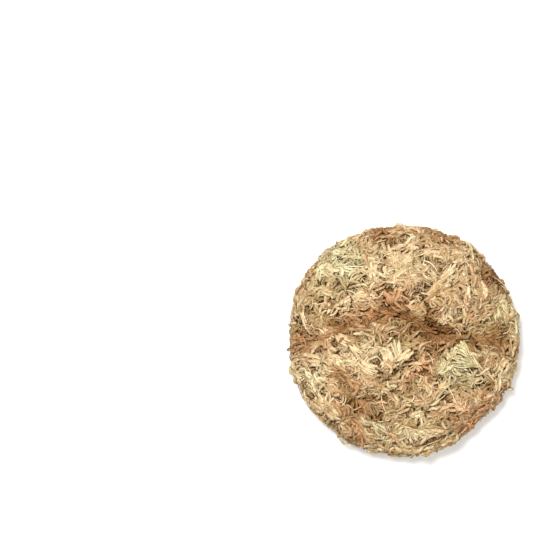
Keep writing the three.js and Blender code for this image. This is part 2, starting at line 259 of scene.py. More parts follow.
@dataclass(frozen=True)
class Lock:
    """A bundle of branches whose place on the top is given, in millimetres and degrees.

    Attributes:
        x: where its branches start.
        y: where its branches start.
        heading: the direction that they take, in plan.
        length: their length.
        width: how wide they start beside each other.
        spread: how far the outermost turn away from the heading.
        bend: how far all of them bend on the way.
        branches: how many they are.
        girth: their radius.
        level: how high they lie over the surface.
        light: their lightness, 0 to 1.
        rust: how rusty they are, 0 to 1.
        green: how green they are, 0 to 1.
        stagger: how far behind each other they start, as a share of their length.
    """

    x: float
    y: float
    heading: float
    length: float
    width: float = 3.0
    spread: float = 10.0
    bend: float = 0.0
    branches: int = 6
    girth: float = 0.9
    level: float = 1.2
    light: float = 0.6
    rust: float = 0.0
    green: float = 0.0
    stagger: float = 0.12

    @property
    def plan(self) -> tuple[float, float]:
        """The direction that its branches take, in plan."""
        heading = math.radians(self.heading)
        return math.cos(heading), math.sin(heading)

    def place(self, number: int) -> float:
        """Where across its width a branch starts, from -1 to 1."""
        return 2 * (number + 0.5) / self.branches - 1

    def root(self, number: int) -> tuple[float, float]:
        """Where a branch starts.

        Args:
            number: which branch it is, from 0.

        Returns:
            Its X and Y.
        """
        ahead, left = self.plan
        aside = self.place(number) * self.width / 2
        back = self.stagger * self.length * (number % 3)
        return self.x - left * aside - ahead * back, self.y + ahead * aside - left * back


FAN_HEAD = (
    Lock(42, -9, 128, 10, width=2, spread=36, branches=9, girth=0.55, level=3.8, green=0.3),
    Lock(41, -8, 132, 7, width=2, spread=26, branches=5, girth=0.55, level=4.6, light=0.7),
    Lock(52, -19, 134, 14, width=2.4, spread=3, branches=5, girth=0.42, level=3.6, light=0.6),
    Lock(61, -28, 134, 15, width=3, spread=5, branches=4, girth=0.42, level=3.0, light=0.55),
)
GREEN_FAN = (
    Lock(47, -16, 160, 21, width=1, spread=8, bend=24, branches=3, girth=0.5, level=3.8, green=0.5),
    Lock(
        47, -16, 184, 19, width=2, spread=8, bend=-26, branches=4, girth=0.5, level=3.8, green=0.6
    ),
)
PALE_FORK = (
    Lock(
        -4, -12, 36, 13, width=2.4, spread=4, bend=-10, branches=4, girth=1.1, level=3.8, light=0.68
    ),
    Lock(-5, -11, 100, 14, width=4, spread=6, branches=5, girth=1.05, level=3.7, green=0.5),
    Lock(-9, -13, 124, 10, spread=7, branches=3, girth=1.0, level=2.6, light=0.7),
)
SLANTED_LOCKS = (
    Lock(-57, 8, -28, 13, width=4, spread=6, bend=-14, branches=5, level=2.2, light=0.66),
    Lock(-46, 2, -40, 12, width=5, spread=9, bend=20, level=2.0),
    Lock(-37, -4, -30, 12, width=4, spread=8, bend=-24, branches=5, level=2.0, light=0.62),
    Lock(-68, -12, 4, 14, width=5, spread=8, bend=-26, level=2.0, green=0.3),
    Lock(-50, -13, -18, 13, width=5, spread=8, bend=-18, level=1.8),
    Lock(-30, -16, -36, 14, width=5, spread=7, bend=22, level=2.2, light=0.62),
)
LOOSE_LOCKS = (
    Lock(-69, 19, -64, 12, spread=3, branches=3, girth=0.6, level=2.4, light=0.75),
    Lock(-36, 26, -70, 17, width=1.5, spread=3, bend=120, branches=2, girth=0.7, rust=0.5),
    Lock(-50, 50, 150, 12, width=2, spread=8, bend=150, branches=4, light=0.7, green=0.6),
    Lock(-38, 58, 20, 13, bend=-70, branches=5, light=0.7, green=0.5),
    Lock(18, 34, 42, 18, width=4, spread=6, bend=-14, branches=7, light=0.5),
    Lock(27, 44, 40, 16, spread=8, bend=16, light=0.52),
    Lock(-2, 52, 52, 15, width=4, spread=8, bend=24, light=0.66),
    Lock(-22, 46, 98, 13, width=5, spread=6, bend=-12, level=1.6, light=0.72),
    Lock(14, 61, -8, 16, bend=20),
    Lock(52, 40, -60, 15, width=4, bend=-20, branches=7),
    Lock(4, -62, -74, 13, spread=12, bend=30, branches=5),
    Lock(17, -59, -125, 13, width=6, spread=10, bend=-30, branches=7, light=0.64, green=0.4),
    Lock(-52, -46, -50, 16, width=4, spread=8, bend=30, branches=7),
    Lock(24, -36, 64, 13, spread=8, bend=-24, branches=5, light=0.66),
    Lock(64, -34, 98, 14, width=4, spread=12, bend=30, light=0.66),
)


@dataclass(frozen=True)
class Hump:
    """A ridge or a hollow of the top, in millimetres.

    Attributes:
        x: where its middle is.
        y: where its middle is.
        length: how far it reaches along X.
        width: how far it reaches along Y.
        height: how high it is, or how deep where under 0.
        sway: how far it swings to and fro along Y.
    """

    x: float
    y: float
    length: float
    width: float
    height: float
    sway: float = 0.0


FAR_RIDGE = Hump(0, 46, length=60, width=20, height=3.0)
NEAR_RIDGE = Hump(-4, -11, length=62, width=11, height=2.6)
HOLLOW = Hump(5, -31, length=21, width=6, height=-5.0)
LOW_FOLD = Hump(-2, -53, length=50, width=4.5, height=-3.0, sway=4.0)


@dataclass(frozen=True)
class Fold:
    """The deep fold that runs across the top, in millimetres.

    Attributes:
        y: where it runs at its ends.
        arch: how far it arches up.
        arch_x: where it arches the most.
        arch_reach: how far along X the arch reaches.
        least: how deep it is at its ends.
        deeper: how much deeper it gets.
        deep_x: where it is deepest.
        deep_reach: how far along X the deeper part reaches.
        width: how far to its sides it reaches.
    """

    y: float = 1.0
    arch: float = 19.0
    arch_x: float = -13.0
    arch_reach: float = 28.0
    least: float = 6.0
    deeper: float = 5.0
    deep_x: float = 12.0
    deep_reach: float = 36.0
    width: float = 7.0

    def line(self, x: Array) -> Array:
        """The Y at which the fold runs."""
        return self.y + self.arch * bump(x - self.arch_x, self.arch_reach)

    def depth(self, x: Array, y: Array) -> Array:
        """How deep the fold is at a place."""
        along = self.least + self.deeper * bump(x - self.deep_x, self.deep_reach)
        return along * bump(y - self.line(x), self.width)


@dataclass(frozen=True)
class Cushion:
    """The rounded form of the clump, as the surface that its branches lie on, in millimetres.

    The sizes and formulas are those of the solids' source.

    Attributes:
        outline: its mean radius in plan.
        height: how high its top is, before the relief.
        waist: the level at which it is widest.
        tuck: how far under the waist its sides would close.
        plan_power: how full its plan is: a high power keeps the top flat to the rim.
        side_power: how full its sides are.
        sole: the level of its underside.
        core: the radius of the flat disc at the waist that places are pushed out from.
        halvings: how many times a ray is halved to find the surface.
        feel: how far from a place its slope is felt.
        deepest_fold: the depth at which a place lies wholly in the fold.
        top_levels: the levels between which the sides pass into the top.
        top_zone: the level over which branches belong to the top.
        sole_zone: the level under which they belong to the underside.
        humps: the ridges and hollows of its top.
        fold: the fold across its top.
        lump: how high its small lumps are.
        lay_turn: the direction in which the moss lies on the whole, as an angle in plan.
        lay_swing: how far the lay swings from that.
        lay_waver: how far it wavers from place to place.
    """

    outline: float = 79.0
    height: float = 43.0
    waist: float = 14.0
    tuck: float = 23.0
    plan_power: float = 3.3
    side_power: float = 2.2
    sole: float = 2.6
    core: float = 50.0
    halvings: int = 20
    feel: float = 0.6
    deepest_fold: float = 11.0
    top_levels: Span = (22.0, 30.0)
    top_zone: float = 24.0
    sole_zone: float = 5.0
    humps: tuple[Hump, ...] = (FAR_RIDGE, NEAR_RIDGE, HOLLOW, LOW_FOLD)
    fold: Fold = Fold()
    lump: float = 1.2
    lay_turn: float = math.radians(3)
    lay_swing: float = math.radians(40)
    lay_waver: float = math.radians(34)

    @property
    def heart(self) -> Array:
        """The point in its middle, at the waist."""
        return np.array([0.0, 0.0, self.waist])

    def outline_radius(self, angle: Array) -> Array:
        """How far the outline lies from the middle, in the direction of an angle in plan."""
        lobes = 0.011 * np.sin(3 * angle + 1) + 0.009 * np.sin(5 * angle + 2.4)
        return self.outline * (1 + lobes + 0.006 * np.sin(9 * angle))

    def relief(self, x: Array, y: Array) -> Array:
        """How much the top rises above or falls below a plain dome.

        Args:
            x: the places' X.
            y: the places' Y.

        Returns:
            The rise at each place.
        """
        total = np.zeros(np.shape(x))
        for hump in self.humps:
            along = bump(x - hump.x, hump.length)
            across = bump(y - hump.y - hump.sway * np.sin(x / 21), hump.width)
            total = total + hump.height * along * across
        lumps = self.lump * np.sin(x / 7.1 + 0.6) * np.sin(y / 6.3 + 1.1)
        return total + lumps - self.fold.depth(x, y)

    def outside(self, points: Array) -> Array:
        """How far out points lie: under 0 inside the cushion and 0 on its surface.

        Args:
            points: (..., 3) points.

        Returns:
            A value for each point, which isn't a distance.
        """
        x, y, z = points[..., 0], points[..., 1], points[..., 2]
        across = np.hypot(x, y) / self.outline_radius(np.arctan2(y, x))
        top = self.height + self.relief(x, y) - self.waist
        up = (z - self.waist) / np.where(z > self.waist, top, self.tuck)
        dome = across**self.plan_power + np.abs(up) ** self.side_power - 1
        return np.maximum(dome, (self.sole - z) / self.waist)

    def cores(self, points: Array) -> Array:
        """The places of the flat core, a disc at the waist, that are nearest to some points.

        Args:
            points: (n, 3) points.

        Returns:
            (n, 3) places.
        """
        reach = np.hypot(points[:, 0], points[:, 1])
        share = np.minimum(1, self.core / np.maximum(reach, 1e-6))
        level = np.full(len(points), self.waist)
        return np.column_stack([points[:, :2] * share[:, None], level])

    def meet(self, origins: Array, ways: Array, reach: float) -> Array:
        """The places where rays meet the surface.

        Args:
            origins: where the rays start, inside the cushion.
            ways: (n, 3) unit vectors along them.
            reach: how far they go.

        Returns:
            (n, 3) places.
        """
        inner = np.zeros(len(ways))
        outer = np.full(len(ways), reach)
        for _ in range(self.halvings):
            middle = (inner + outer) / 2
            inside = self.outside(origins + ways * middle[:, None]) < 0
            inner = np.where(inside, middle, inner)
            outer = np.where(inside, outer, middle)
        return origins + ways * inner[:, None]

    def project(self, points: Array, origins: Array | None = None) -> Array:
        """Pushes points out or in to the surface.

        Args:
            points: (n, 3) points.
            origins: where they are pushed from, by default the nearest places of the core.

        Returns:
            (n, 3) places on the surface.
        """
        origins = self.cores(points) if origins is None else origins
        return self.meet(origins, unit(points - origins), 2 * self.outline)

    def seat(self, x: Array, y: Array) -> Array:
        """Finds the top of the cushion over places in plan.

        Args:
            x: (n,) the places' X.
            y: (n,) the places' Y.

        Returns:
            (n, 3) places on the surface.
        """
        origins = np.column_stack([x, y, np.full(len(x), self.waist)])
        ways = np.tile([0.0, 0.0, 1.0], (len(x), 1))
        return self.meet(origins, ways, 2 * self.height - self.waist)

    def normals(self, places: Array) -> Array:
        """The directions straight out of the surface.

        Args:
            places: (n, 3) places on it.

        Returns:
            (n, 3) unit vectors.
        """
        slopes = []
        for axis in np.eye(3):
            step = self.feel * axis
            slopes.append(self.outside(places + step) - self.outside(places - step))
        return unit(np.stack(slopes, axis=-1))

    def lay_angle(self, places: Array) -> Array:
        """The angle in plan along which plants lie, with a local waver.

        Args:
            places: (n, 3) places on the surface.

        Returns:
            (n,) angles in radians.
        """
        x, y = places[:, 0], places[:, 1]
        lay = self.lay_swing * np.sin((0.9 * x + 0.6 * y) / 38) + self.lay_turn
        along_fold = np.arctan(self.fold.line(x + 0.5) - self.fold.line(x - 0.5))
        waver = np.sin(x / 6.1 + y / 17 + 0.8) * np.sin(y / 7.3 - x / 19 + 2.1)
        return lay + self.fold_share(places) * (along_fold - lay) + self.lay_waver * waver

    def fold_share(self, places: Array) -> Array:
        """How much a place lies in the fold, from 0 to 1."""
        depth = self.fold.depth(places[:, 0], places[:, 1])
        return np.clip(depth / self.deepest_fold, 0, 1) * self.topness(places)

    def topness(self, places: Array) -> Array:
        """How much a place belongs to the top, from 0 on the sides to 1."""
        return rise(places[:, 2], self.top_levels)

    def zones(self, places: Array) -> Array:
        """The zones that places lie in.

        Args:
            places: (n, 3) places.

        Returns:
            (n,) zones.
        """
        found = np.full(len(places), Zone.SIDE)
        found[places[:, 2] > self.top_zone] = Zone.TOP
        found[places[:, 2] < self.sole_zone] = Zone.SOLE
        return found


@dataclass
class Paths:
    """Many bent branches or stems at once, in millimetres.

    Attributes:
        middle: (n, m, 3) centre lines, with m stations each.
        side: (n, m, 3) unit vectors square to them, along the surface.
        up: (n, m, 3) unit vectors square to both.
        length: (n,) lengths.
        girth: (n,) greatest radii.
        tone: (n, 4) lightness, rust, green and depth (its painted shadow), each 0 to 1.
    """

    middle: Array
    side: Array
    up: Array
    length: Array
    girth: Array
    tone: Array

    def __len__(self) -> int:
        """The number of branches."""
        return len(self.length)

    def pick(self, chosen: Array) -> "Paths":
        """The branches that a mask or list of indices names."""
        parts = (self.middle, self.side, self.up, self.length, self.girth, self.tone)
        return Paths(*(part[chosen] for part in parts))

    def at(self, along: Array) -> tuple[Array, Array, Array]:
        """Points and directions at shares of every path's length.

        Args:
            along: (v,) shares from 0 to 1.

        Returns:
            The centre line, side and up there, each (n, v, 3).
        """
        last = self.middle.shape[1] - 1
        place = np.clip(along, 0, 1) * last
        before = np.minimum(place.astype(int), last - 1)
        rest = (place - before)[None, :, None]
        found = []
        for line in (self.middle, self.side, self.up):
            found.append(line[:, before] * (1 - rest) + line[:, before + 1] * rest)
        return found[0], found[1], found[2]


@dataclass
class Gesture:
    """How branches lie, one value for each: heights in millimetres and angles in radians.

    Attributes:
        base: how high the root is over the surface.
        lift: how far the middle arches up.
        tip: how much higher than the root the tip is.
        bend: how far the branch bends sideways in all.
        wave: how far it swings sideways and back.
    """

    base: Array
    lift: Array
    tip: Array
    bend: Array
    wave: Array


@dataclass(frozen=True)
class Strand:
    """One straight branch, of which the branches of the clump are bent copies.

    Attributes:
        sides: corners of its round section.
        rings: sections from its root to its tip.
        leaf: how far its overlapping leaves stand out, as a share of its radius.
        fattest: where along it the branch is thickest, from 0 to 1.
        root: its radius where it leaves the stem, as a share of the thickest.
        taper: how late it thins to its tip: a high power leaves the tip blunt.
        lump: how much it swells and shrinks along its length, as a share of its radius.
        lumps: how many times it does so.
        lean: how far its leaves reach forward, as a share of how far they stand out.
    """

    sides: int
    rings: int
    leaf: float
    fattest: float = 0.36
    root: float = 0.5
    taper: float = 2.0
    lump: float = 0.0
    lumps: float = 2.6
    lean: float = 0.35

    def radius(self, along: float) -> float:
        """The radius of the branch at a place.

        Args:
            along: how far along the branch the place is, from 0 to 1.

        Returns:
            The radius, as a share of the thickest.
        """
        swell = math.sin(min(along / self.fattest, 1) * math.pi / 2)
        thin = max(1 - along**self.taper, 0) ** 0.5
        lump = 1 + self.lump * math.sin(2 * math.pi * self.lumps * along)
        return (self.root + (1 - self.root) * swell) * thin * lump

    def mesh(self, name: str) -> bpy.types.Mesh:
        """Builds the straight branch, one long, with a greatest radius of one.

        A ring is extruded from the root to the tip. Each ring is scaled to the branch's radius
        there and turned by half a side, so that its corners lie between those of the ring
        before, and every second corner stands out as a leaf does.

        Args:
            name: the mesh's name.

        Returns:
            A closed mesh with the attributes that a finished tuft carries.
        """
        work = bmesh.new()
        ring = bmesh.ops.create_circle(work, segments=self.sides, radius=1.0)["verts"]
        edges = list({edge for corner in ring for edge in corner.link_edges})
        rings = [list(ring)]
        for _ in range(self.rings - 1):
            grown = bmesh.ops.extrude_edge_only(work, edges=edges)["geom"]
            ring = [part for part in grown if isinstance(part, bmesh.types.BMVert)]
            edges = [
                part
                for part in grown
                if isinstance(part, bmesh.types.BMEdge) and set(part.verts) <= set(ring)
            ]
            bmesh.ops.translate(work, verts=ring, vec=(0, 0, 1 / (self.rings - 1)))
            rings.append(ring)
        for number, ring in enumerate(rings):
            along = number / (self.rings - 1)
            self.shape_ring(work, ring, number, self.radius(along))
        for ring in (rings[0], rings[-1]):
            middle = sum((corner.co for corner in ring), Vector()) / len(ring)
            bmesh.ops.pointmerge(work, verts=ring, merge_co=middle)
        bmesh.ops.recalc_face_normals(work, faces=work.faces)
        mesh = finished(work, name)
        add_attributes(mesh)
        return mesh

    def shape_ring(
        self, work: bmesh.types.BMesh, ring: list[bmesh.types.BMVert], number: int, radius: float
    ) -> None:
        """Scales and turns a ring, and lets every second corner stand out.

        Args:
            work: the mesh that the ring is in.
            ring: its corners.
            number: its place from the root, from 0.
            radius: the branch's radius there.
        """
        turn = Matrix.Rotation(number * math.pi / self.sides, 3, "Z")
        bmesh.ops.rotate(work, verts=ring, cent=(0, 0, 0), matrix=turn)
        bmesh.ops.scale(work, verts=ring, vec=(radius, radius, 1))
        around = sorted(ring, key=lambda corner: math.atan2(corner.co.y, corner.co.x))
        leaves = around[number % 2 :: 2]
        stand = 1 + self.leaf
        bmesh.ops.scale(work, verts=leaves, vec=(stand, stand, 1))
        if 0 < number < self.rings - 1:
            forward = self.lean * self.leaf / (self.rings - 1)
            bmesh.ops.translate(work, verts=leaves, vec=(0, 0, forward))


Forms = Callable[[Fineness], tuple[Strand, ...]]


def branch_forms(fineness: Fineness) -> tuple[Strand, ...]:
    """Three forms of branch: blunt, rounded and slender.

    Args:
        fineness: how finely they are modelled.

    Returns:
        The forms.
    """
    sides, rings = fineness.value
    return (
        Strand(sides, rings, leaf=0.24, fattest=0.35, root=0.70, taper=7.0, lump=0.10),
        Strand(sides, rings, leaf=0.20, fattest=0.50, root=0.75, taper=4.5, lump=-0.12),
        Strand(sides, rings, leaf=0.26, fattest=0.30, root=0.65, taper=3.0, lump=0.08),
    )


def head_forms(fineness: Fineness) -> tuple[Strand, ...]:
    """The short club-shaped branch of a head, at a fineness."""
    sides, rings = fineness.value
    return (Strand(sides, rings, leaf=0.25, fattest=0.62, root=0.55, taper=4.0),)


def stem_forms(fineness: Fineness) -> tuple[Strand, ...]:
    """A bare stem or thread, even in thickness, at a fineness."""
    sides, rings = fineness.value
    return (Strand(sides, rings, leaf=0.05, fattest=0.1, root=0.8, taper=9.0),)


def add_attributes(mesh: bpy.types.Mesh) -> None:
    """Adds the attributes that the finishes read.

    Args:
        mesh: the mesh that gets them.
    """
    for name, kind in (("tone", "FLOAT_COLOR"), ("strand", "FLOAT_VECTOR"), ("along", "FLOAT")):
        mesh.attributes.new(name, kind, "POINT")


def set_attribute(mesh: bpy.types.Mesh, name: str, values: Array) -> None:
    """Writes one attribute of a mesh.

    Args:
        mesh: the mesh.
        name: the attribute's name.
        values: one row for each vertex.
    """
    keys = {"tone": "color", "strand": "vector", "along": "value"}
    mesh.attributes[name].data.foreach_set(keys[name], values.astype(np.float32).ravel())


def corner_places(mesh: bpy.types.Mesh) -> Array:
    """The places of a mesh's vertices.

    Args:
        mesh: the mesh.

    Returns:
        (n, 3) places.
    """
    flat = np.empty(len(mesh.vertices) * 3, np.float32)
    mesh.vertices.foreach_get("co", flat)
    return flat.reshape(-1, 3)


Tufts = dict[str, bmesh.types.BMesh]


@dataclass
class Bender:
    """Bends copies of one straight branch along paths and adds them to the tufts' meshes.

    Attributes:
        strand: the straight branch.
        name: what its mesh is called.
        floor: the lowest that a copy may reach, in millimetres.
        apart: how far apart the patterns of two copies may lie, in millimetres.
        mesh: the straight branch's mesh.
        shape: (v, 3) the places of its corners.
    """

    strand: Strand
    name: str
    floor: float = 0.02
    apart: float = 900.0
    mesh: bpy.types.Mesh = field(init=False)
    shape: Array = field(init=False)

    def __post_init__(self) -> None:
        """Builds the straight branch and reads its corners."""
        self.mesh = self.strand.mesh(self.name)
        self.shape = corner_places(self.mesh)
        set_attribute(self.mesh, "along", self.shape[:, 2])

    def lay(self, paths: Paths, owners: list[str], tufts: Tufts, draw: np.random.Generator) -> None:
        """Adds a bent copy for every path to the mesh of the tuft that owns it.

        Args:
            paths: where the copies lie.
            owners: the tuft of each path.
            tufts: the mesh being made for each tuft.
            draw: seeded random numbers, for each branch's roll and pattern.
        """
        along = self.shape[:, 2]
        middle, side, up = paths.at(along)
        roll = draw.uniform(0, 2 * math.pi, (len(paths), 1))
        x, y = self.shape[:, 0], self.shape[:, 1]
        across = x * np.cos(roll) - y * np.sin(roll)
        above = x * np.sin(roll) + y * np.cos(roll)
        girth = paths.girth[:, None]
        place = middle - side * (girth * across)[..., None] + up * (girth * above)[..., None]
        place[..., 2] = np.maximum(place[..., 2], self.floor)
        place = (place * MM).astype(np.float32)
        pattern = draw.uniform(0, self.apart, (len(paths), 1))
        strand = np.stack(
            [girth * x + pattern, girth * y, paths.length[:, None] * along], axis=-1
        )
        for number, owner in enumerate(owners):
            self.mesh.vertices.foreach_set("co", place[number].ravel())
            set_attribute(self.mesh, "strand", strand[number])
            set_attribute(self.mesh, "tone", np.tile(paths.tone[number], (len(along), 1)))
            tufts[owner].from_mesh(self.mesh)
        bpy.data.meshes.remove(self.mesh)


@dataclass(frozen=True)
class Tinting:
    """How the tones of plants come about, each from 0 to 1.

    Attributes:
        rust: how rusty a plant may be anywhere.
        rust_rarity: how rare the rustiest are.
        green: how green every plant is.
        greener: how much greener a plant may be anywhere.
        green_rarity: how rare the greenest are.
        fold_rust: how rusty the fold is.
        fold_painted_shade: how much darker it is painted: painted shade in the fold's crease.
        fold_painted_shadow: how much deeper its plants count as lying, for more painted shadow.
        patch_levels: the levels, in millimetres, between which the patches begin.
        side_rust: how rusty the rusty places on the sides are.
        side_rust_from: how high the sides' waver has to be for a rusty place.
        side_green: how green the green places on the sides are.
        side_green_from: how far under 0 it has to be for a green place.
        rust_stray: how many times as rusty a plant is as its place.
        green_stray: how many times as green it is.
    """

    rust: float = 0.4
    rust_rarity: int = 4
    green: float = 0.08
    greener: float = 0.4
    green_rarity: int = 3
    fold_rust: float = 0.8
    fold_painted_shade: float = 0.35
    fold_painted_shadow: float = 0.4
    patch_levels: Span = (10.0, 16.0)
    side_rust: float = 0.9
    side_rust_from: float = 0.3
    side_green: float = 0.7
    side_green_from: float = 0.4
    rust_stray: Span = (0.5, 1.4)
    green_stray: Span = (0.4, 1.3)


@dataclass
class MossBed:
    """The surface that moss is laid on: where branches start, how they run and their tones.

    Attributes:
        cushion: the form of the clump, in millimetres.
        draw: the seeded random numbers that everything is drawn from.
        tinting: how tones come about.
        stations: how many places each branch's centre line has.
        reach: how far out places are tried, as a share of the outline.
        beyond: how far under the ground and over the top they are tried, in millimetres.
        shell: how near to the surface, in the form's own measure, a tried place has to lie.
        side_stray: how much more plants stray from the lay where the sides are steep, in radians.
        side_climb: how steeply they climb there.
        early: how much of its bend a branch takes at its root, for 1 if it bent evenly.
        later: how much more of it the branch takes at its tip.
        fold_fill: the share of the fold's depth that moss fills up again.
        arch: how early branches arch up: a power under 1 brings the arch nearer to the root.
        shake: how far branches rise and fall on their way, in millimetres.
        shakes: how fast they do so, in radians along their length.
        clearance: how high a centre line stays, as a share of the branch's radius.
        ceiling: the highest that a branch may reach, in millimetres.
    """

    cushion: Cushion
    draw: np.random.Generator
    tinting: Tinting = Tinting()
    stations: int = 12
    reach: float = 1.05
    beyond: Span = (5.0, 10.0)
    shell: float = 0.35
    side_stray: float = math.radians(45)
    side_climb: float = 0.3
    early: float = 0.4
    later: float = 1.2
    fold_fill: float = 0.35
    arch: float = 0.8
    shake: float = 0.25
    shakes: Span = (5.0, 11.0)
    clearance: float = 0.5
    ceiling: float = 50.8

    def between(self, low: float, high: float, count: int) -> Array:
        """Random numbers from low to high, or one value without a draw where both are the same."""
        return np.full(count, low) if low == high else self.draw.uniform(low, high, count)

    def about(self, middle: float, stray: float, count: int) -> Array:
        """Random numbers around a middle, most within a stray of it, or the middle if it is 0."""
        return np.full(count, middle) if stray == 0 else self.draw.normal(middle, stray, count)

    def spread(self, spacing: float, sole_spacing: float, tries: int) -> Array:
        """Places on the cushion, at random but no nearer to each other than a spacing.

        Args:
            spacing: the least distance on the top and sides, in millimetres.
            sole_spacing: the least distance underneath.
            tries: how many places are tried.

        Returns:
            (n, 3) places on the surface.
        """
        plan = self.draw.uniform(-self.reach, self.reach, (tries, 2)) * self.cushion.outline
        under, over = self.beyond
        level = self.draw.uniform(-under, self.cushion.height + over, tries)
        points = np.column_stack([plan, level])
        near = np.abs(self.cushion.outside(points)) < self.shell
        places = self.cushion.project(points[near])
        spacings = np.where(self.cushion.zones(places) == Zone.SOLE, sole_spacing, spacing)
        kept = np.empty((0, 3))
        for place, least in zip(places, spacings):
            gaps = np.sum((kept - place) ** 2, axis=1)
            if not len(kept) or gaps.min() > least**2:
                kept = np.vstack([kept, place])
        return kept

    def headings(self, places: Array, scatter: float) -> Array:
        """Directions on the surface along the lay of the moss.

        Args:
            places: (n, 3) places on the surface.
            scatter: how far they stray on the top, in radians. On the sides they stray more.

        Returns:
            (n, 3) unit vectors.
        """
        normals = self.cushion.normals(places)
        lay = self.cushion.lay_angle(places)
        steep = (1 - np.abs(normals[:, 2])) * (1 - self.cushion.topness(places))
        ways = np.column_stack([np.cos(lay), np.sin(lay), self.side_climb * steep])
        stray = self.about(0, 1, len(lay)) * (scatter + steep * self.side_stray)
        return turned(flattened(ways, normals), normals, stray)

    def walk(
        self, starts: Array, headings: Array, length: Array, gesture: Gesture
    ) -> tuple[Array, Array]:
        """Walks over the surface from many starts at once, and curls more towards the end.

        Args:
            starts: (n, 3) places on the surface.
            headings: (n, 3) first directions.
            length: (n,) lengths of the walks.
            gesture: how they bend and swing.

        Returns:
            (n, m, 3) places, and the surface's directions there.
        """
        steps = self.stations - 1
        place = starts
        normal = self.cushion.normals(place)
        ahead = headings
        places = [place]
        normals = [normal]
        for step in range(steps):
            share = (step + 0.5) / steps
            swing = 2 * math.pi * math.cos(2 * math.pi * share) / steps
            turn = gesture.bend * (self.early + self.later * share) / steps
            turn = turn + gesture.wave * swing
            ahead = turned(ahead, normal, turn)
            place = self.cushion.project(place + ahead * (length / steps)[:, None])
            normal = self.cushion.normals(place)
            ahead = flattened(ahead, normal)
            places.append(place)
            normals.append(normal)
        return np.stack(places, axis=1), np.stack(normals, axis=1)

    def paths(
        self,
        starts: Array,
        headings: Array,
        length: Array,
        girth: Array,
        tone: Array,
        gesture: Gesture,
    ) -> Paths:
        """Branches that leave their starts, arch up and come down again.

        Args:
            starts: (n, 3) places on the surface.
            headings: (n, 3) first directions.
            length: (n,) lengths.
            girth: (n,) radii.
            tone: (n, 4) tones.
            gesture: how they lie.

        Returns:
            The branches.
        """
        places, normals = self.walk(starts, headings, length, gesture)
        share = np.linspace(0, 1, self.stations)[None, :]
        arch = gesture.lift[:, None] * np.sin(math.pi * share**self.arch)
        height = gesture.base[:, None] + arch + gesture.tip[:, None] * share**2
        shakes = self.between(*self.shakes, len(starts))[:, None]
        shake = np.sin(share * shakes + starts[:, :1])
        height = height + self.shake * shake * share
        middle = places + normals * height[..., None]
        fold = self.cushion.fold.depth(places[..., 0], places[..., 1])
        middle[..., 2] += self.fold_fill * fold * (places[..., 2] > self.cushion.waist)
        highest = self.ceiling - girth[:, None]
        lowest = self.clearance * girth[:, None]
        middle[..., 2] = np.clip(middle[..., 2], lowest, highest)
        along = unit(np.gradient(middle, axis=1))
        side = unit(np.cross(along, normals))
        up = np.cross(side, along)
        return Paths(middle, side, up, length, girth, tone)

    def tones(self, places: Array, depth: Array, light: Array) -> Array:
        """The tones of plants, from the patches and the fold that they lie in.

        Args:
            places: (n, 3) places.
            depth: (n,) how deep they lie, 0 to 1, which sets their painted shadow.
            light: (n,) how light each is, before the patches change it.

        Returns:
            (n, 4) tones.
        """
        count = len(places)
        tints = self.tinting
        x, y, z = places[:, 0], places[:, 1], places[:, 2]
        side = 1 - self.cushion.topness(places)
        upper = rise(z, tints.patch_levels)
        fold = self.cushion.fold_share(places)
        rust = tints.rust * self.between(0, 1, count) ** tints.rust_rarity + tints.fold_rust * fold
        greener = tints.greener * self.between(0, 1, count) ** tints.green_rarity
        green = (tints.green + greener) * (1 - fold)
        # The fold gets painted shade: its plants are made darker and count as lying deeper.
        light = light - tints.fold_painted_shade * fold
        depth = depth + tints.fold_painted_shadow * fold
        # The patches' lightness is partly painted light and shade.
        for patch in PATCHES:
            share = bump(np.hypot(x - patch.x, y - patch.y), patch.reach) * upper
            rust = rust + patch.rust * share
            green = green + patch.green * share
            light = light + patch.light * share
        waver = np.sin(x / 11 + 1) * np.sin(y / 13) * np.sin(z / 9 + x / 23)
        rusty = np.clip(waver - tints.side_rust_from, 0, 1)
        greenish = np.clip(-waver - tints.side_green_from, 0, 1)
        rust = rust + tints.side_rust * rusty * side
        green = green + tints.side_green * greenish * side
        rust = rust * self.between(*tints.rust_stray, count)
        green = green * self.between(*tints.green_stray, count)
        return np.clip(np.column_stack([light, rust, green, depth]), 0, 1)


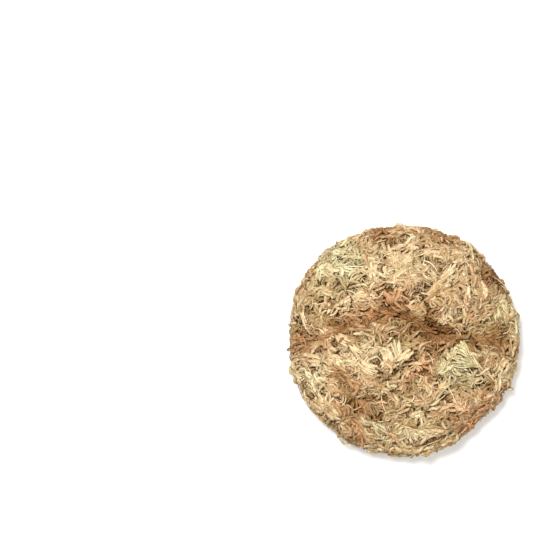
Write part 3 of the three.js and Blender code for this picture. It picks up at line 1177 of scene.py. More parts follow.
@dataclass(frozen=True)
class Bunching:
    """How the branches of a plant lie in their bunches, in millimetres and radians.

    Attributes:
        backward: the share of bunches that point back along the stem.
        curl: how far a bunch as a whole strays from its stem's bend.
        tight: the share of bunches that curl much more.
        tighter: how many times more they curl.
        fan: how far the branches on the two sides turn away from the stem.
        stray: how far any branch strays from its direction.
        aside: how far beside the stem the branches on the two sides start.
        ahead: how far ahead of its root a branch takes its tone.
        stem_tone: the share of its tone that is its stem's.
        own_tone: the share of its tone that is its place's.
        light_stray: how far its lightness strays.
        tint_stray: how far its rust and its green stray.
        over: how much higher the branch on the stem lies than the others.
        sunk: how much lower than the stem the others lie.
        home: the share of its turn by which a branch bends back.
        bend_stray: how far its bend strays.
        stem_bend: the share of its stem's bend that it follows.
        wild: the share of branches that stand up out of the moss.
        wild_rise: how much higher they reach.
        thin: the share of thin branches.
        thinner: their girth, as a share of the others'.
        lift: how far a branch arches up.
        tip: how much higher its tip lies than its root.
        wave: how far it swings sideways and back.
    """

    backward: float = 0.45
    curl: float = 0.7
    tight: float = 0.12
    tighter: float = 3.0
    fan: Span = (0.05, 0.4)
    stray: float = 0.34
    aside: Span = (0.8, 2.2)
    ahead: float = 4.0
    stem_tone: float = 0.3
    own_tone: float = 0.7
    light_stray: float = 0.13
    tint_stray: float = 0.1
    over: float = 0.6
    sunk: float = 0.2
    home: Span = (0.2, 1.2)
    bend_stray: float = 0.45
    stem_bend: float = 0.4
    wild: float = 0.05
    wild_rise: Span = (0.5, 2.6)
    thin: float = 0.15
    thinner: float = 0.55
    lift: Span = (-0.2, 1.5)
    tip: Span = (-1.6, 0.9)
    wave: float = 0.24


@dataclass(frozen=True)
class Habit:
    """How the plants of a layer grow, in millimetres and radians.

    Attributes:
        name: what its branches are called in the log.
        spacing: the least distance between plants on the top and sides.
        sole_spacing: the least distance underneath.
        level: how low and how high the stems lie over the surface.
        fineness: how finely its branches are modelled in each zone.
        stem_length: the stems' lengths.
        stem_girth: the stems' radii.
        stem_stray: how far the stems stray from the lay of the moss.
        stem_lift: how far the stems arch up.
        stem_tip: how much higher than their roots the stems' tips are.
        stem_bend: how far the stems bend sideways.
        stem_wave: how far the stems swing sideways and back.
        branch_length: the branches' lengths.
        branch_girth: the branches' radii.
        pitch: the distance along a stem from bunch to bunch.
        bunching: how the branches lie in their bunches.
        shallow: the level from which plants don't count as deep, and get no painted shadow.
        deep: how far under it they count as wholly deep, with the most painted shadow.
        light: how light the plants are, 0 to 1.
        light_stray: how far a plant's lightness strays.
        warmth: how far a plant's colour strays to rust or to green.
        tries: how many places are tried.
    """

    name: str
    spacing: float
    sole_spacing: float
    level: Span
    fineness: dict[Zone, Fineness]
    stem_length: Span = (9.0, 19.0)
    stem_girth: Span = (0.4, 0.6)
    stem_stray: float = math.radians(26)
    stem_lift: Span = (-0.3, 1.2)
    stem_tip: Span = (-1.0, 1.0)
    stem_bend: float = 0.8
    stem_wave: float = 0.12
    branch_length: Span = (5.5, 11.0)
    branch_girth: Span = (0.75, 1.35)
    pitch: float = 2.8
    bunching: Bunching = Bunching()
    shallow: float = 0.8
    deep: float = 4.0
    light: float = 0.5
    light_stray: float = 0.08
    warmth: float = 0.2
    tries: int = 12000


@dataclass(frozen=True)
class Plants:
    """Stems laid on the cushion, one for each plant.

    Attributes:
        stems: the stems' paths.
        level: (n,) how high each lies over the surface.
        bend: (n,) how far each bends, in radians.
        depth: (n,) how deep each lies, 0 to 1, which sets its painted shadow.
        light: (n,) how light each is, before the patches change it.
        warmth: (n,) how much rustier each is than its place, or greener where under 0.
    """

    stems: Paths
    level: Array
    bend: Array
    depth: Array
    light: Array
    warmth: Array


@dataclass(frozen=True)
class Whorl:
    """One ring of short branches in the head of a plant, in millimetres.

    Attributes:
        fingers: how many branches it has.
        reach: how long they are.
        higher: how much higher than the plant they lie.
        lighter: how much lighter than the plant they are.
    """

    fingers: int
    reach: float
    higher: float
    lighter: float


@dataclass(frozen=True)
class Head:
    """The dense head at the tip of a plant, in millimetres and radians.

    Attributes:
        whorls: its rings of branches, from the lowest.
        along: where along the stem it sits, 0 to 1.
        stray: how far its branches stray from their even turns.
        reach: their lengths, as shares of their whorl's reach.
        depth: how deep they count as lying, as a share of their plant's: their painted shadow.
        lift: how far they arch up.
        tip: how much higher than their roots their tips are.
        bend: how far they bend sideways.
        girth: their radii.
    """

    whorls: tuple[Whorl, ...] = (
        Whorl(9, 6.5, 0.4, 0.06),
        Whorl(7, 4.6, 1.3, 0.1),
        Whorl(5, 3.0, 2.0, 0.14),
    )
    along: float = 0.97
    stray: float = 0.25
    reach: Span = (0.7, 1.2)
    depth: float = 0.4
    lift: Span = (0.5, 1.4)
    tip: Span = (-1.8, -0.2)
    bend: float = 0.7
    girth: Span = (0.6, 0.9)


@dataclass(frozen=True)
class HandLaid:
    """How the branches of a lock stray from what is set for it, in millimetres and radians.

    Attributes:
        light: how far their lightness strays.
        sunk: how far under the lock's level its outermost branches lie.
        crown: how much higher its middle branches lie.
        lift: how far they arch up.
        tip: how much higher than their roots their tips are.
        bend: how far their bend strays.
        wave: how far they swing sideways and back.
        length: their lengths, as shares of the lock's.
        girth: their radii, as shares of the lock's.
    """

    light: float = 0.08
    sunk: float = 1.4
    crown: float = 0.9
    lift: Span = (0.2, 1.2)
    tip: Span = (-1.2, 0.2)
    bend: float = 0.12
    wave: float = 0.05
    length: Span = (0.75, 1.05)
    girth: Span = (0.85, 1.2)


@dataclass(frozen=True)
class Litter:
    """Loose branches, stems or fibres scattered over the whole clump, in millimetres.

    Attributes:
        name: what they are called in the log.
        forms: their forms.
        fineness: how finely they are modelled in each zone.
        spacing: the least distance between them on the top and sides.
        sole_spacing: the least distance underneath.
        tries: how many places are tried.
        stray: how far they stray from the lay of the moss, in degrees.
        light: how light they are, 0 to 1.
        base: how high their roots lie over the surface.
        lift: how far their middles arch up.
        tip: how much higher than their roots their tips are.
        bend: how far they bend sideways, in radians.
        length: their lengths.
        girth: their radii.
        wave: how far they swing sideways and back, in radians.
        depth: how deep they count as lying, 0 to 1, which sets their painted shadow.
    """

    name: str
    forms: Forms
    fineness: dict[Zone, Fineness]
    spacing: float
    sole_spacing: float
    tries: int
    stray: float
    light: Span
    base: Span
    lift: Span
    tip: Span
    bend: float
    length: Span
    girth: Span
    wave: float = 0.0
    depth: Span = (0.0, 0.0)


# The under branches lie deep and get painted shadow, partly for the browner moss beneath.
UNDER_BRANCHES = Litter(
    name="under branches",
    forms=branch_forms,
    fineness=UNDER_FINENESS,
    spacing=2.9,
    sole_spacing=3.5,
    tries=90000,
    stray=70,
    light=(0.1, 0.75),
    base=(-2.2, -0.9),
    lift=(0.2, 1.2),
    tip=(-0.5, 0.3),
    bend=1.0,
    length=(7, 13),
    girth=(0.65, 1.05),
    wave=0.25,
    depth=(0.25, 0.95),
)
THREADS = Litter(
    name="threads",
    forms=stem_forms,
    fineness=HIGH_FINENESS,
    spacing=10.5,
    sole_spacing=21.0,
    tries=4000,
    stray=60,
    light=(0.55, 0.95),
    base=(0.6, 1.8),
    lift=(0.3, 1.6),
    tip=(-1.5, 0.8),
    bend=1.3,
    length=(8, 18),
    girth=(0.28, 0.45),
    wave=0.3,
)
SCRAPS = Litter(
    name="scraps",
    forms=branch_forms,
    fineness=UNDER_FINENESS,
    spacing=6.5,
    sole_spacing=19.5,
    tries=12000,
    stray=90,
    light=(0.2, 1.0),
    base=(0.2, 2.0),
    lift=(0.0, 0.8),
    tip=(-1.0, 0.8),
    bend=0.6,
    length=(3, 6),
    girth=(0.45, 0.8),
)
FIBRES = Litter(
    name="fibres",
    forms=stem_forms,
    fineness=FIBRE_FINENESS,
    spacing=2.7,
    sole_spacing=4.0,
    tries=60000,
    stray=90,
    light=(0.4, 1.0),
    base=(0.2, 2.2),
    lift=(-0.2, 0.8),
    tip=(-0.4, 1.4),
    bend=0.9,
    length=(2.0, 5.5),
    girth=(0.2, 0.34),
)


@dataclass
class Grower:
    """Grows the layers of moss and hands each branch to the tuft that it lies on.

    Attributes:
        bed: the surface that the moss is laid on.
        tufts: the mesh being made for each tuft's node.
        head: how the plants' heads are made.
        hand_laid: how the locks are laid.
        tree: the faces of all the solids.
        owner_of_face: the node that each of these faces belongs to.
        count: how many branches are laid.
    """

    bed: MossBed
    tufts: Tufts
    head: Head = Head()
    hand_laid: HandLaid = HandLaid()
    tree: BVHTree = field(init=False)
    owner_of_face: list[str] = field(init=False)
    count: int = 0

    def __post_init__(self) -> None:
        """Gathers the solids' faces in one tree, to find the tuft nearest to a place."""
        corners = []
        faces = []
        self.owner_of_face = []
        for name in sorted(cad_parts):
            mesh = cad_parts[name].data
            first = len(corners)
            corners.extend(vertex.co.copy() for vertex in mesh.vertices)
            for polygon in mesh.polygons:
                faces.append([first + corner for corner in polygon.vertices])
                self.owner_of_face.append(name)
        self.tree = BVHTree.FromPolygons(corners, faces)

    def owners(self, places: Array) -> list[str]:
        """The tuft nearest to each of some places.

        Args:
            places: (n, 3) places in millimetres.

        Returns:
            The names of the tufts' nodes.
        """
        names = []
        for place in places:
            face = self.tree.find_nearest(Vector(place * MM))[2]
            names.append(self.owner_of_face[face])
        return names

    def lay(self, paths: Paths, forms: Forms, fineness: dict[Zone, Fineness], name: str) -> None:
        """Lays branches as bent copies of straight ones, whose forms are shared out in turn.

        Args:
            paths: the branches.
            forms: gives the forms of branch at a fineness.
            fineness: the fineness in each zone.
            name: what the branches are called.
        """
        anchor = paths.middle[:, paths.middle.shape[1] // 3]
        zones = self.bed.cushion.zones(anchor)
        for zone in Zone:
            inside = np.where(zones == zone)[0]
            strands = forms(fineness[zone])
            for number, strand in enumerate(strands):
                chosen = inside[number :: len(strands)]
                if len(chosen):
                    bender = Bender(strand, name)
                    owners = self.owners(anchor[chosen])
                    bender.lay(paths.pick(chosen), owners, self.tufts, self.bed.draw)
        self.count += len(paths)
        LOG.info("%s: %d branches", name, len(paths))

    def scatter(self, litter: Litter) -> None:
        """Scatters loose branches, stems or fibres over the clump.

        Args:
            litter: what they are and how they lie.
        """
        bed = self.bed
        starts = bed.spread(litter.spacing, litter.sole_spacing, litter.tries)
        count = len(starts)
        depth = bed.between(*litter.depth, count)
        light = bed.between(*litter.light, count)
        tone = bed.tones(starts, depth, light)
        gesture = Gesture(
            base=bed.between(*litter.base, count),
            lift=bed.between(*litter.lift, count),
            tip=bed.between(*litter.tip, count),
            bend=bed.about(0, litter.bend, count),
            wave=bed.about(0, litter.wave, count),
        )
        paths = bed.paths(
            starts,
            bed.headings(starts, math.radians(litter.stray)),
            length=bed.between(*litter.length, count),
            girth=bed.between(*litter.girth, count),
            tone=tone,
            gesture=gesture,
        )
        self.lay(paths, litter.forms, litter.fineness, litter.name)

    def plants(self, habit: Habit) -> Plants:
        """Lays the stems of a layer of plants.

        Args:
            habit: how the layer grows.

        Returns:
            The plants.
        """
        bed = self.bed
        starts = bed.spread(habit.spacing, habit.sole_spacing, habit.tries)
        count = len(starts)
        forth = np.where(bed.between(0, 1, count) < 0.5, 1.0, -1.0)
        headings = bed.headings(starts, habit.stem_stray) * forth[:, None]
        level = bed.between(*habit.level, count)
        # The lower a plant lies, the more painted shadow it gets, partly for the browner moss
        # beneath.
        depth = np.clip((habit.shallow - level) / habit.deep, 0, 1)
        light = bed.about(habit.light, habit.light_stray, count)
        gesture = Gesture(
            base=level,
            lift=bed.between(*habit.stem_lift, count),
            tip=bed.between(*habit.stem_tip, count),
            bend=bed.about(0, habit.stem_bend, count),
            wave=bed.about(0, habit.stem_wave, count),
        )
        stems = bed.paths(
            starts,
            headings,
            length=bed.between(*habit.stem_length, count),
            girth=bed.between(*habit.stem_girth, count),
            tone=bed.tones(starts, depth, light),
            gesture=gesture,
        )
        return Plants(stems, level, gesture.bend, depth, light, bed.about(0, habit.warmth, count))

    def branches(self, plants: Plants, habit: Habit) -> None:
        """Lays the bunches of branches along the stems of some plants.

        Each bunch has a branch on the stem and one on either side, which leaves the stem at an
        angle and bends back to run along it.

        Args:
            plants: the plants.
            habit: how they grow.
        """
        bed = self.bed
        bunch = habit.bunching
        stems = plants.stems
        bunches = int(habit.stem_length[1] / habit.pitch)
        middle, side, _ = stems.at(np.linspace(0, 1, bunches))
        wanted = np.maximum(np.round(stems.length / habit.pitch), 2)
        starts, headings, tones, base, bend = [], [], [], [], []
        for number in range(bunches):
            grown = np.where(bed.between(0, 1, len(stems)) < wanted / bunches)[0]
            count = len(grown)
            normal = bed.cushion.normals(bed.cushion.project(middle[grown, number]))
            across = flattened(side[grown, number], normal)
            backward = bed.between(0, 1, count) < bunch.backward
            across *= np.where(backward, -1.0, 1.0)[:, None]
            curl = bed.about(0, bunch.curl, count)
            curl *= np.where(bed.between(0, 1, count) < bunch.tight, bunch.tighter, 1.0)
            warmth = plants.warmth[grown]
            for turn in (-1, 0, 1):
                angle = turn * bed.between(*bunch.fan, count) + bed.about(0, bunch.stray, count)
                aside = turn * bed.between(*bunch.aside, count)
                root = bed.cushion.project(middle[grown, number] - across * aside[:, None])
                starts.append(root)
                ahead = flattened(np.cross(normal, across), bed.cushion.normals(root))
                heading = turned(ahead, normal, angle)
                headings.append(heading)
                spot = root + bunch.ahead * heading
                own = bed.tones(spot, plants.depth[grown], plants.light[grown])
                shade = bunch.stem_tone * stems.tone[grown] + bunch.own_tone * own
                shade[:, 0] += bed.about(0, bunch.light_stray, count)
                shade[:, 1] += bed.about(0, bunch.tint_stray, count) + np.maximum(warmth, 0)
                shade[:, 2] += bed.about(0, bunch.tint_stray, count) - np.minimum(warmth, 0)
                tones.append(np.clip(shade, 0, 1))
                base.append(plants.level[grown] + bunch.over * (turn == 0) - bunch.sunk)
                back = -angle * bed.between(*bunch.home, count)
                back = back + bed.about(0, bunch.bend_stray, count)
                bend.append(back + (bunch.stem_bend * plants.bend[grown] + curl))
        starts = np.concatenate(starts)
        count = len(starts)
        wild = (bed.between(0, 1, count) < bunch.wild) * bed.between(*bunch.wild_rise, count)
        thin = np.where(bed.between(0, 1, count) < bunch.thin, bunch.thinner, 1.0)
        gesture = Gesture(
            base=np.concatenate(base),
            lift=bed.between(*bunch.lift, count) + wild,
            tip=bed.between(*bunch.tip, count) + wild,
            bend=np.concatenate(bend),
            wave=bed.about(0, bunch.wave, count),
        )
        paths = bed.paths(
            starts,
            np.concatenate(headings),
            length=bed.between(*habit.branch_length, count),
            girth=bed.between(*habit.branch_girth, count) * thin,
            tone=np.concatenate(tones),
            gesture=gesture,
        )
        self.lay(paths, branch_forms, habit.fineness, habit.name)

    def heads(self, plants: Plants, share: float) -> None:
        """Sets a dense head of short branches on the tips of some plants.

        Args:
            plants: the plants.
            share: how many of them have a head in sight.
        """
        bed = self.bed
        headed = np.where(bed.between(0, 1, len(plants.stems)) < share)[0]
        stems = plants.stems.pick(headed)
        count = len(headed)
        middle, side, _ = stems.at(np.array([self.head.along]))
        root = bed.cushion.project(middle[:, 0])
        normal = bed.cushion.normals(root)
        across = flattened(side[:, 0], normal)
        headings, base, size, tones = [], [], [], []
        for number, whorl in enumerate(self.head.whorls):
            for finger in range(whorl.fingers):
                turn = 2 * math.pi * (finger + 0.5 * number) / whorl.fingers
                stray = bed.about(0, self.head.stray, count)
                headings.append(turned(across, normal, turn + stray))
                base.append(plants.level[headed] + whorl.higher)
                size.append(whorl.reach * bed.between(*self.head.reach, count))
                shade = stems.tone.copy()
                shade[:, 0] += whorl.lighter
                shade[:, 3] *= self.head.depth
                tones.append(np.clip(shade, 0, 1))
        fingers = len(headings)
        total = fingers * count
        gesture = Gesture(
            base=np.concatenate(base),
            lift=bed.between(*self.head.lift, total),
            tip=bed.between(*self.head.tip, total),
            bend=bed.about(0, self.head.bend, total),
            wave=np.zeros(total),
        )
        paths = bed.paths(
            np.tile(root, (fingers, 1)),
            np.concatenate(headings),
            length=np.concatenate(size),
            girth=bed.between(*self.head.girth, total),
            tone=np.concatenate(tones),
            gesture=gesture,
        )
        self.lay(paths, head_forms, LOW_FINENESS, "head branches")

    def locks(self, locks: tuple[Lock, ...], name: str) -> None:
        """Lays the bundles whose places are listed.

        Args:
            locks: the bundles.
            name: what they are called.
        """
        bed = self.bed
        hand = self.hand_laid
        each = [(lock, number) for lock in locks for number in range(lock.branches)]
        count = len(each)
        place = np.array([lock.place(number) for lock, number in each])
        x, y = np.array([lock.root(number) for lock, number in each]).T
        tone = np.array([(lock.light, lock.rust, lock.green, 0.0) for lock, _ in each])
        tone[:, 0] += bed.about(0, hand.light, count)
        starts = bed.cushion.seat(x, y)
        normals = bed.cushion.normals(starts)
        spread = np.radians([lock.spread for lock, _ in each]) * place
        headings = np.array([(*lock.plan, 0.0) for lock, _ in each])
        aim = turned(flattened(headings, normals), normals, spread)
        level = np.array([lock.level for lock, _ in each])
        gesture = Gesture(
            base=level - hand.sunk + hand.crown * np.sqrt(1 - place**2),
            lift=bed.between(*hand.lift, count),
            tip=bed.between(*hand.tip, count),
            bend=np.radians([lock.bend for lock, _ in each]) + bed.about(0, hand.bend, count),
            wave=bed.about(0, hand.wave, count),
        )
        length = np.array([lock.length for lock, _ in each])
        girth = np.array([lock.girth for lock, _ in each])
        paths = bed.paths(
            starts,
            aim,
            length=length * bed.between(*hand.length, count),
            girth=girth * bed.between(*hand.girth, count),
            tone=np.clip(tone, 0, 1),
            gesture=gesture,
        )
        self.lay(paths, branch_forms, ALL_FINE, name)


Socket = bpy.types.NodeSocket
Outputs = bpy.types.NodeOutputs
Feed = Socket | float | tuple[float, ...]


@dataclass(frozen=True)
class Wiring:
    """Adds nodes to a node tree and links them.

    Attributes:
        tree: the node tree.
    """

    tree: bpy.types.NodeTree

    def feed(self, node: bpy.types.Node, inputs: dict[str | int, Feed]) -> None:
        """Links or sets the inputs of a node.

        Args:
            node: the node.
            inputs: what each input gets: an output of another node, or a constant.
        """
        for name, source in inputs.items():
            if isinstance(source, Socket):
                self.tree.links.new(source, node.inputs[name])
            else:
                node.inputs[name].default_value = source

    def add(self, kind: str, inputs: dict[str | int, Feed], **settings: object) -> Outputs:
        """Adds a node.

        Args:
            kind: its type, without the words ShaderNode before it.
            inputs: what its inputs get.
            settings: its other settings, which are made first.

        Returns:
            Its outputs.
        """
        node = self.tree.nodes.new(f"ShaderNode{kind}")
        for name, value in settings.items():
            setattr(node, name, value)
        self.feed(node, inputs)
        return node.outputs

    def attribute(self, name: str) -> Outputs:
        """The outputs of a new node that reads an attribute of the mesh."""
        return self.add("Attribute", {}, attribute_name=name)

    def math(self, operation: str, *terms: Feed, clamp: bool = False) -> Socket:
        """A value worked out from others.

        Args:
            operation: what is done with them.
            terms: the values.
            clamp: whether the result is kept between 0 and 1.

        Returns:
            The result.
        """
        inputs = dict(enumerate(terms))
        return self.add("Math", inputs, operation=operation, use_clamp=clamp)["Value"]

    def ramp(self, factor: Socket, colours: tuple[Colour, ...]) -> Socket:
        """Colours in even steps along a factor.

        Args:
            factor: the factor, 0 to 1.
            colours: the colours, two or more.

        Returns:
            The colour.
        """
        node = self.tree.nodes.new("ShaderNodeValToRGB")
        stops = node.color_ramp.elements
        while len(stops) < len(colours):
            stops.new(0.5)
        for number, colour in enumerate(colours):
            stops[number].position = number / (len(colours) - 1)
            stops[number].color = colour
        self.feed(node, {"Fac": factor})
        return node.outputs["Color"]

    def mix(self, factor: Feed, first: Feed, second: Feed) -> Socket:
        """Two colours mixed.

        Args:
            factor: how much of the second is in the mixture.
            first: the first colour.
            second: the second colour.

        Returns:
            The mixture.
        """
        inputs = {"Factor": factor, "A": first, "B": second}
        return self.add("Mix", inputs, data_type="RGBA")["Result"]


@dataclass(frozen=True)
class LeafPattern:
    """The shader node group of overlapping leaves: their relief and their shades.

    Attributes:
        name: the group's name.
        leaf: how closely the leaves lie in each direction.
        fibre: how closely the fibres lie in each direction.
        detail: how fine the fibres are.
    """

    name: str = "leaf_pattern"
    leaf: tuple[float, float, float] = (1.0, 1.0, 0.55)
    fibre: tuple[float, float, float] = (3.2, 3.2, 0.35)
    detail: float = 2.0

    def group(self) -> bpy.types.NodeTree:
        """Builds the group.

        Returns:
            A group with the inputs Vector and Size, and the outputs Height, Shade and Streak.
        """
        tree = bpy.data.node_groups.new(self.name, "ShaderNodeTree")
        tree.interface.new_socket("Vector", in_out="INPUT", socket_type="NodeSocketVector")
        size = tree.interface.new_socket("Size", in_out="INPUT", socket_type="NodeSocketFloat")
        size.default_value = 1.0
        for output in ("Height", "Shade", "Streak"):
            tree.interface.new_socket(output, in_out="OUTPUT", socket_type="NodeSocketFloat")
        wiring = Wiring(tree)
        start = tree.nodes.new("NodeGroupInput").outputs
        end = tree.nodes.new("NodeGroupOutput")
        leaves = wiring.add("Mapping", {"Vector": start["Vector"], "Scale": self.leaf})
        cells = wiring.add("TexVoronoi", {"Vector": leaves["Vector"], "Scale": start["Size"]})
        shade = wiring.add("SeparateColor", {"Color": cells["Color"]})
        along = wiring.add("Mapping", {"Vector": start["Vector"], "Scale": self.fibre})
        streak = {"Vector": along["Vector"], "Scale": 1.0, "Detail": self.detail}
        height = wiring.math("SUBTRACT", 1.0, cells["Distance"])
        wiring.feed(end, {"Height": height, "Shade": shade["Red"]})
        wiring.feed(end, {"Streak": wiring.add("TexNoise", streak)["Fac"]})
        return tree


@dataclass(frozen=True)
class MossFinish:
    """The finish of one colour of dried moss.

    Attributes:
        moss: which moss it is.
        deep: its darkest branches.
        body: its middling branches.
        pale: its palest branches.
        rust_deep: the darkest of its rusty branches.
        rust_pale: the palest of them.
        green_deep: the darkest of its green branches.
        green_pale: the palest of them.
        shadow: the painted shadow deep down between the branches, partly the browner moss there.
        shadow_share: how much of that painted shadow the deepest have.
        leaf_size: how closely the leaves lie.
        leaf_change: how much the lightness changes from leaf to leaf.
        streak_change: how much it changes along the fibres.
        painted_root_shade: how much it lightens from root to tip: painted root shade and browner
            roots.
        relief: how strong the leaves' relief is.
        relief_height: how high the leaves stand out, in metres.
        roughness: how dull the moss is.
        shine: how strongly it reflects.
    """

    moss: Moss
    deep: Colour
    body: Colour
    pale: Colour
    rust_deep: Colour = srgb(115, 71, 36)
    rust_pale: Colour = srgb(211, 152, 103)
    green_deep: Colour = srgb(134, 114, 64)
    green_pale: Colour = srgb(217, 212, 170)
    shadow: Colour = srgb(114, 75, 26)
    shadow_share: float = 0.85
    leaf_size: float = 0.9
    leaf_change: float = 0.4
    streak_change: float = 0.5
    painted_root_shade: float = 0.16
    relief: float = 0.9
    relief_height: float = 0.5 * MM
    roughness: float = 0.82
    shine: float = 0.25

    def material(self, leaves: bpy.types.NodeTree) -> bpy.types.Material:
        """Builds the material.

        Args:
            leaves: the leaf pattern's node group.

        Returns:
            A material that reads the attributes tone, strand and along.
        """
        material = bpy.data.materials.new(self.moss.slot)
        material.use_nodes = True
        wiring = Wiring(material.node_tree)
        tone = wiring.attribute("tone")
        parts = wiring.add("SeparateColor", {"Color": tone["Color"]})
        place = {"Vector": wiring.attribute("strand")["Vector"], "Size": self.leaf_size}
        pattern = wiring.add("Group", place, node_tree=leaves)
        light = self.lightness(wiring, parts["Red"], pattern)
        colour = wiring.ramp(light, (self.deep, self.body, self.pale))
        rust = wiring.ramp(light, (self.rust_deep, self.rust_pale))
        green = wiring.ramp(light, (self.green_deep, self.green_pale))
        colour = wiring.mix(parts["Green"], colour, rust)
        colour = wiring.mix(parts["Blue"], colour, green)
        # The depth in the tone's alpha mixes in the painted shadow: painted shade on deep branches
        # and the mat.
        depth = wiring.math("MULTIPLY", tone["Alpha"], self.shadow_share)
        shape = {"Strength": self.relief, "Distance": self.relief_height}
        relief = wiring.add("Bump", {**shape, "Height": pattern["Height"]})
        surface = {
            "Base Color": wiring.mix(depth, colour, self.shadow),
            "Roughness": self.roughness,
            "Specular IOR Level": self.shine,
            "Normal": relief["Normal"],
        }
        wiring.feed(material.node_tree.nodes["Principled BSDF"], surface)
        return material

    def lightness(self, wiring: Wiring, base: Socket, pattern: Outputs) -> Socket:
        """How light a point is: its branch's lightness, varied by leaf, fibre and painted root
        shade.

        Args:
            wiring: adds the nodes.
            base: the branch's own lightness.
            pattern: the outputs of the leaf pattern.

        Returns:
            The lightness, 0 to 1.
        """
        total = base
        for source, change in (
            (pattern["Shade"], self.leaf_change),
            (pattern["Streak"], self.streak_change),
            # Painted shade: darker at the branch's root, lighter at its tip.
            (wiring.attribute("along")["Fac"], self.painted_root_shade),
        ):
            varied = wiring.math("MULTIPLY_ADD", source, change, -change / 2)
            total = wiring.math("ADD", total, varied, clamp=True)
        return total


FINISHES = (
    MossFinish(Moss.STRAW, srgb(150, 110, 54), srgb(200, 170, 128), srgb(240, 223, 184)),
    MossFinish(Moss.GREEN, srgb(146, 114, 54), srgb(196, 173, 127), srgb(235, 224, 180)),
    MossFinish(Moss.RUST, srgb(142, 100, 48), srgb(193, 158, 114), srgb(235, 207, 168)),
)


@dataclass
class Clump:
    """The whole clump: one piece for each tuft of the frame.

    Attributes:
        cushion: its form, in millimetres.
        seed: the start of the random numbers.
        tufts: the mesh being made for each tuft's node.
        mat_depth: how far under the surface the matted bodies end, in millimetres.
        mat_roughness: how uneven the bodies are, in millimetres.
        mat_fineness: how often the form of the mat is subdivided.
        mat_painted_shadow_tone: the bodies' lightness, rust, green and depth, which paint them as
            shadow.
        weld: how near to each other corners of a solid are merged, in millimetres.
        low_plants: how the lower layer of plants grows.
        high_plants: how the upper layer grows.
        headed: the share of the upper plants whose head is in sight.
    """

    cushion: Cushion = field(default_factory=Cushion)
    seed: int = 11
    tufts: Tufts = field(default_factory=dict)
    mat_depth: float = 2.2
    mat_roughness: float = 0.5
    mat_fineness: int = 5
    mat_painted_shadow_tone: Colour = (0.25, 0.15, 0.0, 1.0)
    weld: float = 0.001
    low_plants: Habit = Habit("low branches", 8.4, 12.0, (-1.6, -0.3), LOW_FINENESS)
    high_plants: Habit = Habit("high branches", 8.6, 10.5, (-0.3, 1.7), HIGH_FINENESS)
    headed: float = 0.08

    def mat(self) -> bpy.types.Object:
        """Makes the form that the tufts' bodies are cut to: the cushion's, a little under it.

        Returns:
            A closed object, which is there for the cutting only.
        """
        work = bmesh.new()
        bmesh.ops.create_icosphere(work, subdivisions=self.mat_fineness, radius=1.0)
        mesh = finished(work, "mat")
        heart = self.cushion.heart
        surface = self.cushion.project(heart + corner_places(mesh), heart)
        x, y, z = surface.T
        knots = np.sin(1.3 * x + z) * np.sin(1.1 * y + 0.7 * z)
        depth = self.mat_depth + self.mat_roughness * knots
        places = surface - self.cushion.normals(surface) * depth[:, None]
        mesh.vertices.foreach_set("co", (places * MM).astype(np.float32).ravel())
        return placed("mat", mesh)

    def body(self, name: str, mat: bpy.types.Object) -> bmesh.types.BMesh:
        """The matted body of a tuft: its solid, with what stands above the mat cut off.

        Args:
            name: the tuft's node.
            mat: the form that it is cut to.

        Returns:
            A closed mesh in metres, with the attributes that the finishes read.
        """
        work = bmesh.new()
        work.from_mesh(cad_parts[name].data)
        bmesh.ops.remove_doubles(work, verts=work.verts, dist=self.weld * MM)
        solid = placed(f"solid_{name}", finished(work, f"solid_{name}"))
        merged = solid.data
        cut = solid.modifiers.new("cut", "BOOLEAN")
        cut.operation = "INTERSECT"
        cut.solver = "MANIFOLD"
        cut.object = mat
        evaluated = solid.evaluated_get(bpy.context.evaluated_depsgraph_get())
        mesh = bpy.data.meshes.new_from_object(evaluated)
        bpy.data.objects.remove(solid)
        bpy.data.meshes.remove(merged)
        mesh.materials.clear()
        add_attributes(mesh)
        places = corner_places(mesh) / MM
        set_attribute(mesh, "strand", places)
        # The matted bodies get the painted shadow colour, as the shade deep between the branches.
        set_attribute(mesh, "tone", np.tile(self.mat_painted_shadow_tone, (len(places), 1)))
        body = bmesh.new()
        body.from_mesh(mesh)
        bpy.data.meshes.remove(mesh)
        return body

    def grow(self) -> None:
        """Makes every tuft's body and lays the layers of moss over them."""
        mat = self.mat()
        self.tufts = {name: self.body(name, mat) for name in sorted(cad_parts)}
        bpy.data.objects.remove(mat)
        bed = MossBed(self.cushion, np.random.default_rng(self.seed))
        grower = Grower(bed, self.tufts)
        grower.scatter(UNDER_BRANCHES)
        low = grower.plants(self.low_plants)
        grower.branches(low, self.low_plants)
        high = grower.plants(self.high_plants)
        grower.lay(high.stems, stem_forms, HIGH_FINENESS, "stems")
        grower.branches(high, self.high_plants)
        grower.heads(high, self.headed)
        grower.locks(SLANTED_LOCKS, "slanted locks")
        grower.locks(LOOSE_LOCKS, "loose locks")
        grower.locks(PALE_FORK, "pale fork")
        grower.locks(GREEN_FAN, "green fan")
        grower.locks(FAN_HEAD, "fan head")
        for litter in (THREADS, SCRAPS, FIBRES):
            grower.scatter(litter)
        LOG.info("%d branches in all", grower.count)

    def finish(self) -> None:
        """Turns the grown meshes into pieces, each with its finish, in place of its node."""
        leaves = LeafPattern().group()
        materials = {finish.moss: finish.material(leaves) for finish in FINISHES}
        total = 0
        for name, work in self.tufts.items():
            moss = Moss(name.split("_")[0])
            mesh = finished(work, f"moss_{name}")
            mesh.shade_smooth()
            mesh.materials.append(materials[moss])
            piece = placed(f"moss_{name}", mesh)
            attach(piece, "root")
            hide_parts(name)
            faces = sum(len(polygon.vertices) - 2 for polygon in mesh.polygons)
            total += faces
            LOG.info("%s: %d triangles", piece.name, faces)
        LOG.info("%d triangles in all", total)


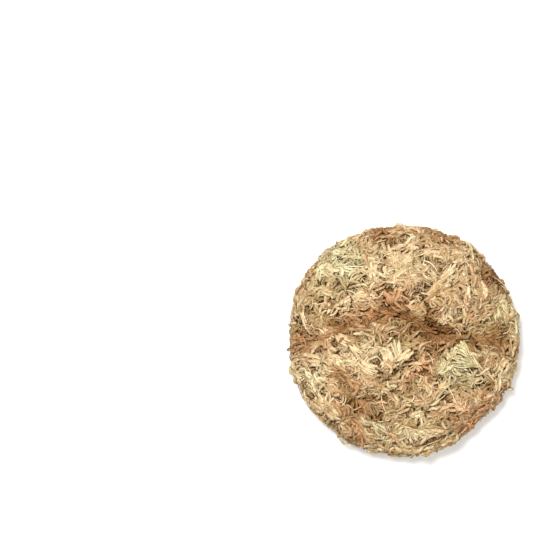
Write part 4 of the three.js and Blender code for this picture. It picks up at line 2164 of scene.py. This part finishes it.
@dataclass(frozen=True)
class Lamp:
    """A square soft light that faces the clump.

    Attributes:
        name: its name.
        place: where it is, in metres.
        size: the length of its side, in metres.
        power: its power, in watts.
    """

    name: str
    place: tuple[float, float, float]
    size: float
    power: float

    def light(self) -> None:
        """Adds the light to the scene."""
        data = bpy.data.lights.new(self.name, "AREA")
        data.size = self.size
        data.energy = self.power
        lamp = placed(self.name, data)
        lamp.location = self.place
        lamp.rotation_euler = (-Vector(self.place)).to_track_quat("-Z", "Y").to_euler()


@dataclass
class Studio:
    """The plain pale floor, the soft light and the camera that looks straight down.

    Attributes:
        frame_pixels: the width and height of the render.
        clump_pixel: where in the render the middle of the clump is, from its upper left.
        pixel: the size of a pixel on the clump, in metres.
        lens: the camera's focal length, in millimetres.
        sensor: the width of its sensor, in millimetres.
        look_height: the height at which the pixel has that size, in metres.
        floor_reach: how far the floor reaches to each side, in metres.
        floor_drop: how far under the clump it lies, in metres.
        floor_colour: its colour.
        floor_roughness: how dull it is.
        lamps: the lights.
        sky_colour: the colour of the even light from everywhere.
        sky: its brightness.
    """

    frame_pixels: int = 550
    clump_pixel: tuple[float, float] = (404.0, 340.5)
    pixel: float = 0.7 * MM
    lens: float = 135.0
    sensor: float = 36.0
    look_height: float = 30 * MM
    floor_reach: float = 8.0
    floor_drop: float = 0.05 * MM
    floor_colour: Colour = srgb(244, 243, 240)
    floor_roughness: float = 0.9
    lamps: tuple[Lamp, ...] = (
        Lamp("key", (-0.28, 0.36, 1.2), size=0.35, power=17.9),
        Lamp("fill", (0.6, -0.5, 1.0), size=1.2, power=6.0),
    )
    sky_colour: Colour = (1.0, 1.0, 1.0, 1.0)
    sky: float = 0.6

    def floor(self) -> None:
        """Lays the floor."""
        work = bmesh.new()
        bmesh.ops.create_grid(work, x_segments=1, y_segments=1, size=self.floor_reach)
        bmesh.ops.translate(work, verts=work.verts, vec=(0, 0, -self.floor_drop))
        mesh = finished(work, "floor")
        material = bpy.data.materials.new("floor")
        material.use_nodes = True
        shader = material.node_tree.nodes["Principled BSDF"]
        shader.inputs["Base Color"].default_value = self.floor_colour
        shader.inputs["Roughness"].default_value = self.floor_roughness
        mesh.materials.append(material)
        floor = placed("floor", mesh)

    def camera(self) -> None:
        """Places the camera straight above, off to the side, so that the clump is off centre."""
        data = bpy.data.cameras.new("camera")
        data.lens = self.lens
        data.sensor_width = self.sensor
        camera = placed("camera", data)
        distance = self.frame_pixels * self.pixel * self.lens / self.sensor
        centre = self.frame_pixels / 2
        x = -(self.clump_pixel[0] - centre) * self.pixel
        y = (self.clump_pixel[1] - centre) * self.pixel
        camera.location = (x, y, self.look_height + distance)
        bpy.context.scene.camera = camera

    def build(self) -> None:
        """Sets up the whole studio."""
        self.camera()
        self.floor()
        for lamp in self.lamps:
            lamp.light()
        world = bpy.data.worlds.new("studio")
        world.use_nodes = True
        sky = world.node_tree.nodes["Background"]
        sky.inputs["Color"].default_value = self.sky_colour
        sky.inputs["Strength"].default_value = self.sky
        bpy.context.scene.world = world
        bpy.context.scene.view_settings.view_transform = "Standard"


def main() -> None:
    """Builds the studio and the clump."""
    logging.basicConfig(level=logging.INFO, format="%(name)s %(message)s")
    Studio().build()
    clump = Clump()
    clump.grow()
    clump.finish()


if __name__ == "__main__":
    main()
